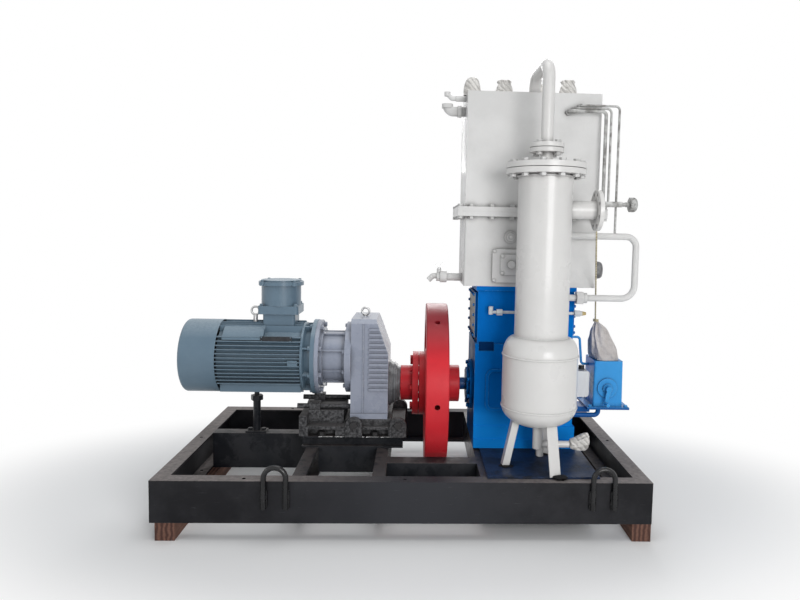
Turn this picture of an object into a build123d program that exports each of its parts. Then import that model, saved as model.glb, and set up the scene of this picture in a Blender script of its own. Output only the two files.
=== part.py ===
from build123d import *
import os
from math import acos, cos, pi, radians, sin, sqrt, tan

# Piston air compressor on a skid, in millimetres.
# X runs along the shafts, from the motor at -X to the lubricator at +X. The front is -Y. Z is up.
# The origin is under the middle of the skid, at the underside of the timber bearers.

os.makedirs("parts", exist_ok=True)

# Skid
skid_length = 2350
skid_width = 1300
bearer_height = 85
rail_height = 200
rail_flange = 75
rail_web_thick = 9
rail_flange_thick = 11
beam_height = 160
skid_top = bearer_height + rail_height
fixing_hole_radius = 9
fixing_hole_inset = 35
fixing_pitch = 1500
sole_plate_thick = 10

# Shaft line
shaft_y = 40
shaft_z = 598
gear_module = 4.5
pinion_teeth = 16
gear_teeth = 48
gear_centres = gear_module * (pinion_teeth + gear_teeth) / 2
motor_z = shaft_z + gear_centres
gear_face = (-280, -215)
pinion_bore = 22

# Motor
motor_left = -1218
motor_radius = 199
motor_core_radius = 168
stator_radius = 150
rotor_radius = 100
rotor_shaft_radius = 30
cowl_right = -1022
frame_right = -577
flange_right = -500

# Gearbox
adapter_right = -340
cover_radius = 196
housing_left = -306
housing_right = -105
housing_front = -130
housing_rear = 210
housing_foot = 437
housing_top = 974
neck_right = -43
base_bottom = 345

# Coupling and flywheel
output_shaft_radius = 42
hub_left = -41
hub_radius = 97
coupling_left = 26
coupling_joint = 59
coupling_radius = 176
coupling_gap = 3
flywheel_left = 95
flywheel_right = 213
flywheel_hub_right = 287
flywheel_radius = 450
pin_circle = 140
pin_count = 8

# Running gear
journal_radius = 35
crank_throw = 38
crank_pin_radius = 32
web_thick = 34
big_end_width = 60
rod_length = 340
crosshead_half_x = 42
crosshead_half_y = 70
crosshead_half_z = 55
running_gap = 0.05
piston_rod_radius = 17.5

# Compressor frame and blocks
case_left = 357
case_right = 892
case_front = -170
case_rear = 250
case_wall = 18
case_bottom = skid_top + sole_plate_thick
case_waist = 860
case_top = 1168
case_middle = (case_left + case_right) / 2
row_pitch = 260
row_x = (case_middle - row_pitch / 2, case_middle + row_pitch / 2)
block_left = 288
block_right = 990
block_wall = 14
block_front = -170
block_rear = 250
joint_z = 1560
joint_flange_thick = 25
joint_flange_reach = 40
block_top = 2182
bore_radius = (110, 65)
head_underside = 1791
piston_height = 110

# Separator
sep_x = 657
sep_y = -434
sep_bottom = 494
sep_lower_radius = 186
sep_upper_radius = 132
sep_wall = 8
sep_head_top = 600
sep_shoulder_bottom = 856
sep_shoulder_top = 946
sep_flange_z = 1735
sep_flange_thick = 26
sep_flange_radius = 192
small_flange_z = 1842
small_flange_radius = 82.5
small_flange_thick = 21
pipe_radius = 30.15
pipe_bore = 26.5
nozzle_z = 1570
nozzle_radius = 44.5
nozzle_bore = 39.5
nozzle_face = 925
nozzle_flange_thick = 20
nozzle_flange_radius = 100
nozzle_bolt_circle = 160
gasket_thick = 3
delivery_top = 2271
delivery_back_x = 646
delivery_back_y = -100

# Small pipework, in one upright plane in front of the blocks
pipe_plane = -230

# Lubricator
lube_left = 1022
lube_right = 1185
lube_front = -100
lube_rear = 110
lube_bottom = 508
lube_top = 760
lube_plate_thick = 12
lube_crank_x = 1097
lube_crank_z = 612


def block(x, y, z, mode=Mode.ADD):
    """Add or cut a square-edged block between pairs of X, Y and Z."""
    with Locations(((x[0] + x[1]) / 2, (y[0] + y[1]) / 2, (z[0] + z[1]) / 2)):
        Box(x[1] - x[0], y[1] - y[0], z[1] - z[0], mode=mode)


def round_x(radius, x_from, x_to, y=shaft_y, z=shaft_z, mode=Mode.ADD):
    """Add or cut a round length that lies along X."""
    with Locations(Location(((x_from + x_to) / 2, y, z), (0, 90, 0))):
        Cylinder(radius, x_to - x_from, mode=mode)


def round_y(radius, y_from, y_to, x, z, mode=Mode.ADD):
    """Add or cut a round length that lies along Y."""
    with Locations(Location((x, (y_from + y_to) / 2, z), (90, 0, 0))):
        Cylinder(radius, y_to - y_from, mode=mode)


def round_z(radius, z_from, z_to, x, y, mode=Mode.ADD):
    """Add or cut an upright round length."""
    with Locations((x, y, (z_from + z_to) / 2)):
        Cylinder(radius, z_to - z_from, mode=mode)


def hexagon(plane, centre, across, height):
    """Add a bolt head or nut that stands on the plane."""
    with BuildSketch(plane) as outline:
        with Locations(centre):
            RegularPolygon(across / sqrt(3), 6)
    extrude(outline.sketch, amount=height)


def bent_pipe(points, bend, radius, bore=0):
    """Add a pipe along straight runs joined by tangent arcs."""
    with BuildLine() as route:
        FilletPolyline(*points, radius=bend)
    with BuildSketch(Plane(origin=points[0], z_dir=route.line % 0)) as section:
        Circle(radius)
        if bore:
            Circle(bore, mode=Mode.SUBTRACT)
    sweep(section.sketch, path=route.line)


# Skid rails: channels with the web outside, mitred at the corners.
def skid_rail(origin, along, length, hole_places):
    """Make one channel rail, with fixing holes through both flanges."""
    base = Plane(origin=origin, x_dir=along, z_dir=(0, 0, 1))
    half = length / 2
    with BuildPart() as rail:
        for depth, height, level in (
            (rail_web_thick, rail_height, 0),
            (rail_flange, rail_flange_thick, 0),
            (rail_flange, rail_flange_thick, rail_height - rail_flange_thick),
        ):
            with BuildSketch(base.offset(level)) as plan:
                with BuildLine():
                    Polyline((-half, 0), (half, 0), (half - depth, depth), (-half + depth, depth), close=True)
                make_face()
            extrude(plan.sketch, amount=height)
        with BuildSketch(base) as holes:
            with Locations(*[(place, fixing_hole_inset) for place in hole_places]):
                Circle(fixing_hole_radius)
        extrude(holes.sketch, amount=rail_height, mode=Mode.SUBTRACT)
    return rail


half_length = skid_length / 2
half_width = skid_width / 2
long_rail_holes = (-fixing_pitch / 2, 0, fixing_pitch / 2)

front_rail = skid_rail((0, -half_width, bearer_height), (1, 0, 0), skid_length, long_rail_holes)
front_rail.part.label = "skid_front_rail"
export_step(front_rail.part, "parts/skid_front_rail.step")

rear_rail = skid_rail((0, half_width, bearer_height), (-1, 0, 0), skid_length, long_rail_holes)
rear_rail.part.label = "skid_rear_rail"
export_step(rear_rail.part, "parts/skid_rear_rail.step")

left_rail = skid_rail((-half_length, 0, bearer_height), (0, -1, 0), skid_width, (0,))
left_rail.part.label = "skid_left_rail"
export_step(left_rail.part, "parts/skid_left_rail.step")

right_rail = skid_rail((half_length, 0, bearer_height), (0, 1, 0), skid_width, (0,))
right_rail.part.label = "skid_right_rail"
export_step(right_rail.part, "parts/skid_right_rail.step")

# Beams inside the skid: four cross members, three lengthwise channels and two supports for the gearbox base.
inner_half_width = half_width - rail_flange
beam_bottom = skid_top - beam_height
beam_thick = 9
cross_members = ((-534, -471), (-157, -94), (360, 423), (871, 934))
front_beam = (-395, -301)
rear_beam = (80, 160)
support_left = -560
support_right = -20
front_support = (-160, -84)
rear_support = (164, 240)


def channel_across(x):
    """Add a cross member: a channel that lies across the skid, web at its left."""
    block(x, (-inner_half_width, inner_half_width), (skid_top - beam_thick, skid_top))
    block(x, (-inner_half_width, inner_half_width), (beam_bottom, beam_bottom + beam_thick))
    web = (x[0], x[0] + beam_thick)
    block(web, (-inner_half_width, inner_half_width), (beam_bottom + beam_thick, skid_top - beam_thick))


def channel_along(x, y, bottom, top):
    """Add a lengthwise beam: a channel with its web at the front."""
    block(x, y, (top - beam_thick, top))
    block(x, y, (bottom, bottom + beam_thick))
    block(x, (y[0], y[0] + beam_thick), (bottom + beam_thick, top - beam_thick))


def box_along(x, y, bottom, top):
    """Add a lengthwise beam: an open I with a middle web."""
    middle = (y[0] + y[1]) / 2
    block(x, y, (top - beam_thick, top))
    block(x, y, (bottom, bottom + beam_thick))
    block(x, (middle - beam_thick / 2, middle + beam_thick / 2), (bottom + beam_thick, top - beam_thick))


with BuildPart() as skid_beams:
    for member in cross_members:
        channel_across(member)
    channel_along((cross_members[1][1], cross_members[2][0]), front_beam, bearer_height, skid_top)
    channel_along((-half_length + rail_flange, cross_members[0][0]), rear_beam, bearer_height, skid_top)
    channel_along((cross_members[0][1], cross_members[1][0]), front_support, 150, skid_top)
    for side in (front_support, rear_support):
        box_along((support_left, support_right), side, skid_top, base_bottom)
    block((392, 934), (-600, 265), (skid_top, case_bottom))
skid_beams.part.label = "skid_beams"
export_step(skid_beams.part, "parts/skid_beams.step")

# Lifting lugs: bent round bar, welded to the rails' webs, front and rear.
lug_bar_radius = 12.5
lug_half_width = 51
lug_bottom = 158
lug_arch_z = 303
lug_places = (-599, 937)

with BuildPart() as lifting_lugs:
    for side in (-1, 1):
        lug_y = side * (half_width + lug_bar_radius)
        for lug_x in lug_places:
            with BuildLine() as hoop:
                Line((lug_x - lug_half_width, lug_y, lug_bottom), (lug_x - lug_half_width, lug_y, lug_arch_z))
                ThreePointArc(
                    (lug_x - lug_half_width, lug_y, lug_arch_z),
                    (lug_x, lug_y, lug_arch_z + lug_half_width),
                    (lug_x + lug_half_width, lug_y, lug_arch_z),
                )
                Line((lug_x + lug_half_width, lug_y, lug_arch_z), (lug_x + lug_half_width, lug_y, lug_bottom))
            with BuildSketch(Plane.XY.offset(lug_bottom)) as bar:
                with Locations((lug_x - lug_half_width, lug_y)):
                    Circle(lug_bar_radius)
            sweep(bar.sketch, path=hoop.line)
lifting_lugs.part.label = "lifting_lugs"
export_step(lifting_lugs.part, "parts/lifting_lugs.step")

# Timber bearers under the ends of the skid.
bearer_left = (-1150, -1060)
bearer_right = (1083, 1173)

with BuildPart() as timber_bearers:
    for bearer in (bearer_left, bearer_right):
        block(bearer, (-half_width, half_width), (0, bearer_height))
timber_bearers.part.label = "timber_bearers"
export_step(timber_bearers.part, "parts/timber_bearers.step")

# Gearbox base: a rough casting with clamp lugs, bolt pockets and two tie bars at the motor end.
base_left = -575
base_right = -12
base_top = 400
base_front = -160
base_rear = 240
foot_y = (housing_front - 12, housing_rear + 12)
lug_radius = 45
lug_height = 405
clamp_lugs = (-283, -47)
bolt_pockets = ((-528, -382), (-241, -100))
pocket_height = 38
pocket_depth = 50
end_wall = (base_left, -535)
end_wall_top = 455
screw_block = (-535, -345)

with BuildPart() as gearbox_base:
    block((base_left, base_right), (base_front, base_rear), (base_bottom, base_top))
    block(end_wall, (base_front, base_rear), (base_top, end_wall_top))
    seat_x = (housing_left - 20, housing_right + 20)
    block(seat_x, (base_front + 25, base_rear - 25), (base_top, housing_foot))
    block(screw_block, (-90, 170), (base_top, 470))
    for place in clamp_lugs:
        for near, far in ((base_front - 12, foot_y[0]), (foot_y[1], base_rear + 12)):
            round_y(lug_radius, near, far, place, lug_height)
            block((place - lug_radius, place + lug_radius), (near, far), (base_bottom, lug_height))
    for pocket in bolt_pockets:
        for near, far in ((base_front, base_front + pocket_depth), (base_rear - pocket_depth, base_rear)):
            block(pocket, (near, far), (base_bottom, base_bottom + pocket_height), mode=Mode.SUBTRACT)
    for tie_y in (-60, 140):
        round_x(14, -600, screw_block[0] + 20, tie_y, 485)
        block((screw_block[0], screw_block[0] + 60), (tie_y - 24, tie_y + 24), (470, 510))
        round_x(14, screw_block[0] + 40, housing_left, tie_y, 485)
gearbox_base.part.label = "gearbox_base"
export_step(gearbox_base.part, "parts/gearbox_base.step")

# Gearbox housing: tall casting with a sloping right shoulder and stepped cooling ribs.
gear_room = 6
cavity_left = -286
cavity_right = -196
shoulder_left = -173
shoulder_z = 789
rib_pitch = 27
rib_left = -210

with BuildPart() as gearbox_housing:
    with BuildSketch(Plane.YZ.offset(housing_left)) as face:
        with BuildLine():
            Polyline(
                (housing_front, housing_foot),
                (housing_rear, housing_foot),
                (housing_rear, housing_top - 22),
                (housing_rear - 22, housing_top),
                (housing_front + 22, housing_top),
                (housing_front, housing_top - 22),
                close=True,
            )
        make_face()
    extrude(face.sketch, amount=housing_right - housing_left)
    for step in range(13):
        rib_z = 590 + step * rib_pitch
        for rib_y in ((housing_front - 9, housing_front), (housing_rear, housing_rear + 9)):
            block((rib_left, housing_right), rib_y, (rib_z, rib_z + 12))
    with BuildSketch(Plane.XZ.offset(-housing_rear - 15)) as shoulder:
        with BuildLine():
            Polyline(
                (shoulder_left, housing_top + 1),
                (housing_right + 1, housing_top + 1),
                (housing_right + 1, shoulder_z),
                (housing_right, shoulder_z),
                close=True,
            )
        make_face()
    extrude(shoulder.sketch, amount=housing_rear - housing_front + 30, mode=Mode.SUBTRACT)
    block((housing_left, housing_right), foot_y, (housing_foot, housing_foot + 28))
    block((-243, -237), (housing_front - 4, housing_front), (housing_foot + 28, housing_top - 22))
    gear_radius = gear_module * gear_teeth / 2
    pinion_radius = gear_module * pinion_teeth / 2
    round_x(gear_radius + gear_module + gear_room, cavity_left, cavity_right, mode=Mode.SUBTRACT)
    round_x(
        pinion_radius + gear_module + gear_room, housing_left, cavity_right, z=motor_z, mode=Mode.SUBTRACT
    )
    round_x(60, cavity_right, housing_right, mode=Mode.SUBTRACT)
gearbox_housing.part.label = "gearbox_housing"
export_step(gearbox_housing.part, "parts/gearbox_housing.step")

# Round cover between the gearbox housing and the motor adapter.
with BuildPart() as input_cover:
    round_x(cover_radius, adapter_right, housing_left, z=motor_z)
    round_x(cover_radius - 14, adapter_right, adapter_right + 8, z=motor_z, mode=Mode.SUBTRACT)
    round_x(150, adapter_right, adapter_right + 8, z=motor_z)
    round_x(45, adapter_right, housing_left, z=motor_z, mode=Mode.SUBTRACT)
input_cover.part.label = "input_cover"
export_step(input_cover.part, "parts/input_cover.step")

# Output neck: a stepped and ribbed seal carrier around the output shaft.
shaft_plane = Plane(origin=(0, shaft_y, shaft_z), x_dir=(1, 0, 0), z_dir=(0, -1, 0))
with BuildPart() as output_neck:
    with BuildSketch(shaft_plane) as neck_profile:
        with BuildLine():
            Polyline(
                (housing_right, 55),
                (housing_right, 128),
                (-93, 128),
                (-93, 118),
                (-84, 118),
                (-84, 112),
                (-76, 112),
                (-76, 116),
                (-68, 116),
                (-68, 106),
                (-58, 106),
                (-58, 100),
                (neck_right, 96),
                (neck_right, 55),
                close=True,
            )
        make_face()
    revolve(neck_profile.sketch, axis=Axis((0, shaft_y, shaft_z), (1, 0, 0)))
output_neck.part.label = "output_neck"
export_step(output_neck.part, "parts/output_neck.step")

# Motor adapter: a ribbed lantern with a flange at each end.
lantern_radius = 138
lantern_bore = 120
rib_count = 8

with BuildPart() as motor_adapter:
    round_x(205, flange_right, flange_right + 22, z=motor_z)
    round_x(164, flange_right + 22, flange_right + 37, z=motor_z)
    round_x(lantern_radius, flange_right, adapter_right, z=motor_z)
    round_x(150, adapter_right - 14, adapter_right, z=motor_z)
    with BuildSketch(Plane.YZ.offset(flange_right + 37)) as ribs:
        with Locations((shaft_y, motor_z)):
            with PolarLocations(lantern_radius + 3, rib_count, start_angle=22.5):
                Rectangle(14, 10)
    extrude(ribs.sketch, amount=adapter_right - flange_right - 51)
    round_x(lantern_bore, flange_right, adapter_right, z=motor_z, mode=Mode.SUBTRACT)
motor_adapter.part.label = "motor_adapter"
export_step(motor_adapter.part, "parts/motor_adapter.step")

# Motor frame: a tube with level fins at its sides, upright fins above and below, foot rails and pads.
fin_pitch = 21
fin_thick = 5
fin_levels = [step * fin_pitch for step in range(-6, 7)]
motor_feet_z = motor_z - 182
upright_fins = [-84, -63, -42, 42, 63, 84]

with BuildPart() as motor_frame:
    with BuildSketch(Plane.YZ.offset(cowl_right)) as section:
        with Locations((shaft_y, motor_z)):
            Circle(motor_core_radius)
            for level in fin_levels:
                with Locations((0, level)):
                    Rectangle(2 * sqrt(motor_radius**2 - level**2), fin_thick)
            for offset_y in upright_fins:
                with Locations((offset_y, 0)):
                    Rectangle(fin_thick, 2 * sqrt(motor_radius**2 - offset_y**2))
    extrude(section.sketch, amount=frame_right - cowl_right)
    with BuildSketch(Plane.YZ.offset(cowl_right + 29)) as pads:
        with Locations((shaft_y, motor_z)):
            Circle(motor_radius - 3)
            Circle(motor_core_radius - 4, mode=Mode.SUBTRACT)
            with Locations((-160, 160)):
                Rectangle(170, 96, mode=Mode.INTERSECT)
    extrude(pads.sketch, amount=216)
    for foot_y_place in (shaft_y - 80, shaft_y + 80):
        block(
            (cowl_right + 5, frame_right - 5),
            (foot_y_place - 28, foot_y_place + 28),
            (motor_feet_z, motor_z - 120),
        )
    block((-640, -588), (shaft_y - motor_radius + 4, shaft_y - 150), (motor_z - 24, motor_z + 10))
    round_x(stator_radius, cowl_right, frame_right, z=motor_z, mode=Mode.SUBTRACT)
motor_frame.part.label = "motor_frame"
export_step(motor_frame.part, "parts/motor_frame.step")

# Motor flange: the drive-end shield, ribbed, that bolts to the adapter.
bearing_seat_radius = 55
motor_plane = Plane(origin=(0, shaft_y, motor_z), x_dir=(1, 0, 0), z_dir=(0, -1, 0))
with BuildPart() as motor_flange:
    with BuildSketch(motor_plane) as shield_profile:
        with BuildLine():
            Polyline(
                (frame_right, bearing_seat_radius),
                (frame_right, 190),
                (frame_right + 12, 190),
                (frame_right + 22, 160),
                (flange_right - 26, 168),
                (flange_right - 22, 207),
                (flange_right, 207),
                (flange_right, 120),
                (flange_right - 20, 120),
                (flange_right - 40, bearing_seat_radius),
                close=True,
            )
        make_face()
    revolve(shield_profile.sketch, axis=Axis((0, shaft_y, motor_z), (1, 0, 0)))
    with BuildSketch(Plane.YZ.offset(frame_right + 12)) as shield_ribs:
        with Locations((shaft_y, motor_z)):
            with PolarLocations(174, 8, start_angle=22.5):
                Rectangle(36, 9)
    extrude(shield_ribs.sketch, amount=flange_right - frame_right - 36)
motor_flange.part.label = "motor_flange"
export_step(motor_flange.part, "parts/motor_flange.step")

# Fan cowl: a smooth drum over the fan, with rings of air slots in its end.
cowl_thick = 4
slot_rings = ((60, 10), (90, 14), (120, 18), (150, 22))

with BuildPart() as fan_cowl:
    round_x(motor_radius + 1, motor_left, cowl_right, z=motor_z)
    fillet(fan_cowl.edges().group_by(Axis.X)[0], 16)
    cowl_inside = motor_radius + 1 - cowl_thick
    round_x(cowl_inside, motor_left + cowl_thick + 12, cowl_right, z=motor_z, mode=Mode.SUBTRACT)
    round_x(motor_radius - 19, motor_left + cowl_thick, cowl_right - 1, z=motor_z, mode=Mode.SUBTRACT)
    for ring_radius, slots in slot_rings:
        with BuildSketch(Plane.YZ.offset(motor_left)) as grille:
            with Locations((shaft_y, motor_z)):
                with PolarLocations(ring_radius, slots):
                    Rectangle(9, 24)
        extrude(grille.sketch, amount=cowl_thick, mode=Mode.SUBTRACT)
fan_cowl.part.label = "fan_cowl"
export_step(fan_cowl.part, "parts/fan_cowl.step")

# Terminal box: a square foot, a bolted square flange and a round neck, cast in one.
box_centre = -708
box_y = shaft_y
neck_radius = 107
lid_radius = 122
gland_z = 930

with BuildPart() as terminal_box:
    with BuildSketch(Plane.XY.offset(motor_z + motor_core_radius - 30)) as foot_plan:
        with Locations((box_centre, box_y)):
            RectangleRounded(174, 150, 14)
    extrude(foot_plan.sketch, amount=985 - (motor_z + motor_core_radius - 30))
    with BuildSketch(Plane.XY.offset(985)) as flange_plan:
        with Locations((box_centre, box_y)):
            RectangleRounded(218, 200, 18)
    extrude(flange_plan.sketch, amount=45)
    round_z(neck_radius, 1030, 1140, box_centre, box_y)
    round_y(34, box_y + 75, box_y + 118, box_centre, gland_z)
    round_y(24, box_y + 88, box_y + 118, box_centre, gland_z, mode=Mode.SUBTRACT)
    round_x(motor_core_radius, cowl_right, frame_right, z=motor_z, mode=Mode.SUBTRACT)
    for offset_y in upright_fins:
        fin_top = motor_z + sqrt(motor_radius**2 - offset_y**2)
        block(
            (cowl_right, frame_right),
            (shaft_y + offset_y - fin_thick / 2, shaft_y + offset_y + fin_thick / 2),
            (motor_z, fin_top),
            mode=Mode.SUBTRACT,
        )
terminal_box.part.label = "terminal_box"
export_step(terminal_box.part, "parts/terminal_box.step")

# Lid of the terminal box, with four bolt ears.
with BuildPart() as terminal_lid:
    round_z(lid_radius, 1140, 1160, box_centre, box_y)
    round_z(lid_radius - 14, 1160, 1169, box_centre, box_y)
    with BuildSketch(Plane.XY.offset(1140)) as ears:
        with Locations((box_centre, box_y)):
            with PolarLocations(lid_radius, 4, start_angle=45):
                Circle(15)
    extrude(ears.sketch, amount=20)
terminal_lid.part.label = "terminal_lid"
export_step(terminal_lid.part, "parts/terminal_lid.step")


# Eyebolts on the motor and the gearbox.
def eyebolt(x, y, z, ring, bar, stem=0):
    """Add a lifting eye whose collar stands at z, with its ring in the XZ plane."""
    round_z(bar * 2, z, z + bar + stem, x, y)
    with Locations(Location((x, y, z + bar + stem + ring), (90, 0, 0))):
        Torus(ring, bar)


with BuildPart() as eyebolts:
    eyebolt(-242, shaft_y, housing_top, 20, 6)
    eyebolt(-850, shaft_y, motor_z + motor_core_radius, 22, 6, stem=56)
eyebolts.part.label = "eyebolts"
export_step(eyebolts.part, "parts/eyebolts.step")

# Motor jack: a screwed post with a nut under the motor's rear foot rail.
jack_x = -862
jack_y = shaft_y + 80
jack_top = motor_feet_z

with BuildPart() as motor_jack:
    block((jack_x - 58, jack_x + 58), (jack_y - 34, jack_y + 34), (skid_top, skid_top + 10))
    round_z(21, skid_top + 10, 470, jack_x, jack_y)
    hexagon(Plane.XY.offset(470), (jack_x, jack_y), 60, 28)
    round_z(14, 498, jack_top, jack_x, jack_y)
    for bolt_x in (jack_x - 38, jack_x + 38):
        hexagon(Plane.XY.offset(skid_top + 10), (bolt_x, jack_y), 24, 11)
motor_jack.part.label = "motor_jack"
export_step(motor_jack.part, "parts/motor_jack.step")

# Stator: the wound core inside the motor frame.
air_gap = 1
with BuildPart() as stator_core:
    round_x(stator_radius, -930, -660, z=motor_z)
    round_x(rotor_radius + air_gap, -930, -660, z=motor_z, mode=Mode.SUBTRACT)
    for winding in ((-965, -930), (-660, -625)):
        round_x(stator_radius - 8, *winding, z=motor_z)
        round_x(rotor_radius + 12, *winding, z=motor_z, mode=Mode.SUBTRACT)
stator_core.part.label = "stator_core"
export_step(stator_core.part, "parts/stator_core.step")

# Bearings and their carriers: motor, gearbox output and crankshaft.
journal_gap = 0.05
crank_bearings = ((case_left + 2, case_left + case_wall + 22), (case_middle - 28, case_middle + 28),
                  (case_right - case_wall - 22, case_right - 2))
with BuildPart() as bearings:
    for start, end, outer in ((-1020, -985, stator_radius), (frame_right, -548, bearing_seat_radius)):
        round_x(outer, start, end, z=motor_z)
        round_x(rotor_shaft_radius + journal_gap, start, end, z=motor_z, mode=Mode.SUBTRACT)
    round_x(60, cavity_right, housing_right - 20)
    round_x(output_shaft_radius + journal_gap, cavity_right, housing_right - 20, mode=Mode.SUBTRACT)
    for start, end in crank_bearings:
        round_x(56, start, end)
        round_x(journal_radius + journal_gap, start, end, mode=Mode.SUBTRACT)
bearings.part.label = "bearings"
export_step(bearings.part, "parts/bearings.step")

# Motor rotor: shaft and core, with the shaft running through the lantern to the gearbox.
with BuildPart() as motor_rotor:
    round_x(rotor_shaft_radius, -1130, gear_face[0] - 6, z=motor_z)
    round_x(pinion_bore, gear_face[0] - 6, gear_face[1] + 4, z=motor_z)
    round_x(rotor_radius, -930, -660, z=motor_z)
motor_rotor.part.label = "motor_rotor"
export_step(motor_rotor.part, "parts/motor_rotor.step")

# Cooling fan: a hub on the rotor's tail with eight straight blades.
fan_left = -1120
fan_right = -1050
fan_radius = 160
with BuildPart() as cooling_fan:
    round_x(52, fan_left, fan_right, z=motor_z)
    with BuildSketch(Plane.YZ.offset(fan_left)) as blades:
        with Locations((shaft_y, motor_z)):
            with PolarLocations(100, 8):
                Rectangle(116, 6)
    extrude(blades.sketch, amount=fan_right - fan_left - 8)
    round_x(fan_radius - 10, fan_right - 8, fan_right, z=motor_z)
    round_x(rotor_shaft_radius, fan_left, fan_right, z=motor_z, mode=Mode.SUBTRACT)
cooling_fan.part.label = "cooling_fan"
export_step(cooling_fan.part, "parts/cooling_fan.step")

# Gear pair: involute teeth, sixteen on the motor's pinion and forty-eight on the output gear.
pressure_angle = radians(20)
tooth_backlash = 0.25
flank_steps = 3


def gear_outline(teeth, turn):
    """Return the points of a gear's outline, tooth by tooth, turned by an angle in radians."""
    pitch_radius = gear_module * teeth / 2
    base_radius = pitch_radius * cos(pressure_angle)
    root_radius = pitch_radius - 1.25 * gear_module
    tip_radius = pitch_radius + gear_module
    start_radius = max(base_radius, root_radius)
    pitch_half = pi / (2 * teeth) - tooth_backlash / (4 * pitch_radius)
    involute_at_pitch = tan(pressure_angle) - pressure_angle
    flank = []
    for step in range(flank_steps + 1):
        radius = start_radius + (tip_radius - start_radius) * step / flank_steps
        roll = acos(min(1, base_radius / radius))
        flank.append((radius, pitch_half + involute_at_pitch - (tan(roll) - roll)))
    if root_radius < start_radius:
        flank.insert(0, (root_radius, flank[0][1]))
    points = []
    for tooth in range(teeth):
        middle = turn + 2 * pi * tooth / teeth
        for radius, half in flank:
            points.append((radius * cos(middle - half), radius * sin(middle - half)))
        for radius, half in reversed(flank):
            points.append((radius * cos(middle + half), radius * sin(middle + half)))
    return points


def spur_gear(teeth, x_from, x_to, z, bore, turn):
    """Make a gear whose axis lies along X."""
    with BuildPart() as gear:
        with BuildSketch(Plane(origin=(x_from, shaft_y, z), x_dir=(0, 1, 0), z_dir=(1, 0, 0))) as outline:
            with BuildLine():
                Polyline(*gear_outline(teeth, turn), close=True)
            make_face()
            Circle(bore, mode=Mode.SUBTRACT)
        extrude(outline.sketch, amount=x_to - x_from)
    return gear


input_pinion = spur_gear(pinion_teeth, *gear_face, motor_z, pinion_bore, pi / pinion_teeth)
input_pinion.part.label = "input_pinion"
export_step(input_pinion.part, "parts/input_pinion.step")

output_gear = spur_gear(gear_teeth, *gear_face, shaft_z, output_shaft_radius, 0)
output_gear.part.label = "output_gear"
export_step(output_gear.part, "parts/output_gear.step")

# Output shaft: carries the gear and the coupling hub.
with BuildPart() as output_shaft:
    round_x(output_shaft_radius, cavity_left + 2, coupling_joint - 6)
    round_x(output_shaft_radius + 8, gear_face[1], gear_face[1] + 14)
output_shaft.part.label = "output_shaft"
export_step(output_shaft.part, "parts/output_shaft.step")

# Coupling hub: the gearbox half of the pin coupling, hub and flange in one.
with BuildPart() as coupling_hub:
    round_x(hub_radius, hub_left, coupling_joint)
    round_x(coupling_radius, coupling_left, coupling_joint)
    fillet(coupling_hub.edges().filter_by(GeomType.CIRCLE).group_by(Axis.X)[0], 3)
    with BuildSketch(Plane.YZ.offset(coupling_left)) as pin_holes:
        with Locations((shaft_y, shaft_z)):
            with PolarLocations(pin_circle, pin_count):
                Circle(10)
    extrude(pin_holes.sketch, amount=coupling_joint - coupling_left, mode=Mode.SUBTRACT)
    round_x(output_shaft_radius, hub_left, coupling_joint, mode=Mode.SUBTRACT)
coupling_hub.part.label = "coupling_hub"
export_step(coupling_hub.part, "parts/coupling_hub.step")

# Coupling pins with their rubber sleeves and nuts, from the hub's flange into the flywheel's boss.
sleeve_radius = 17
with BuildPart() as coupling_pins:
    with BuildSketch(Plane.YZ.offset(coupling_left)) as pins:
        with Locations((shaft_y, shaft_z)):
            with PolarLocations(pin_circle, pin_count):
                Circle(10)
    extrude(pins.sketch, amount=coupling_joint - coupling_left)
    with BuildSketch(Plane.YZ.offset(coupling_joint)) as sleeves:
        with Locations((shaft_y, shaft_z)):
            with PolarLocations(pin_circle, pin_count):
                Circle(sleeve_radius)
    extrude(sleeves.sketch, amount=coupling_gap + 28)
    with BuildSketch(Plane.YZ.offset(coupling_left)) as nuts:
        with Locations((shaft_y, shaft_z)):
            with PolarLocations(pin_circle, pin_count):
                RegularPolygon(17, 6)
    extrude(nuts.sketch, amount=-14)
coupling_pins.part.label = "coupling_pins"
export_step(coupling_pins.part, "parts/coupling_pins.step")

# Flywheel: a heavy rim with a dished web, barring holes in the rim and a boss towards the coupling.
barring_holes = 6
barring_start = -3
barring_radius = 14
rim_inner_radius = 360
web_half = 22
flywheel_middle = (flywheel_left + flywheel_right) / 2

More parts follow.
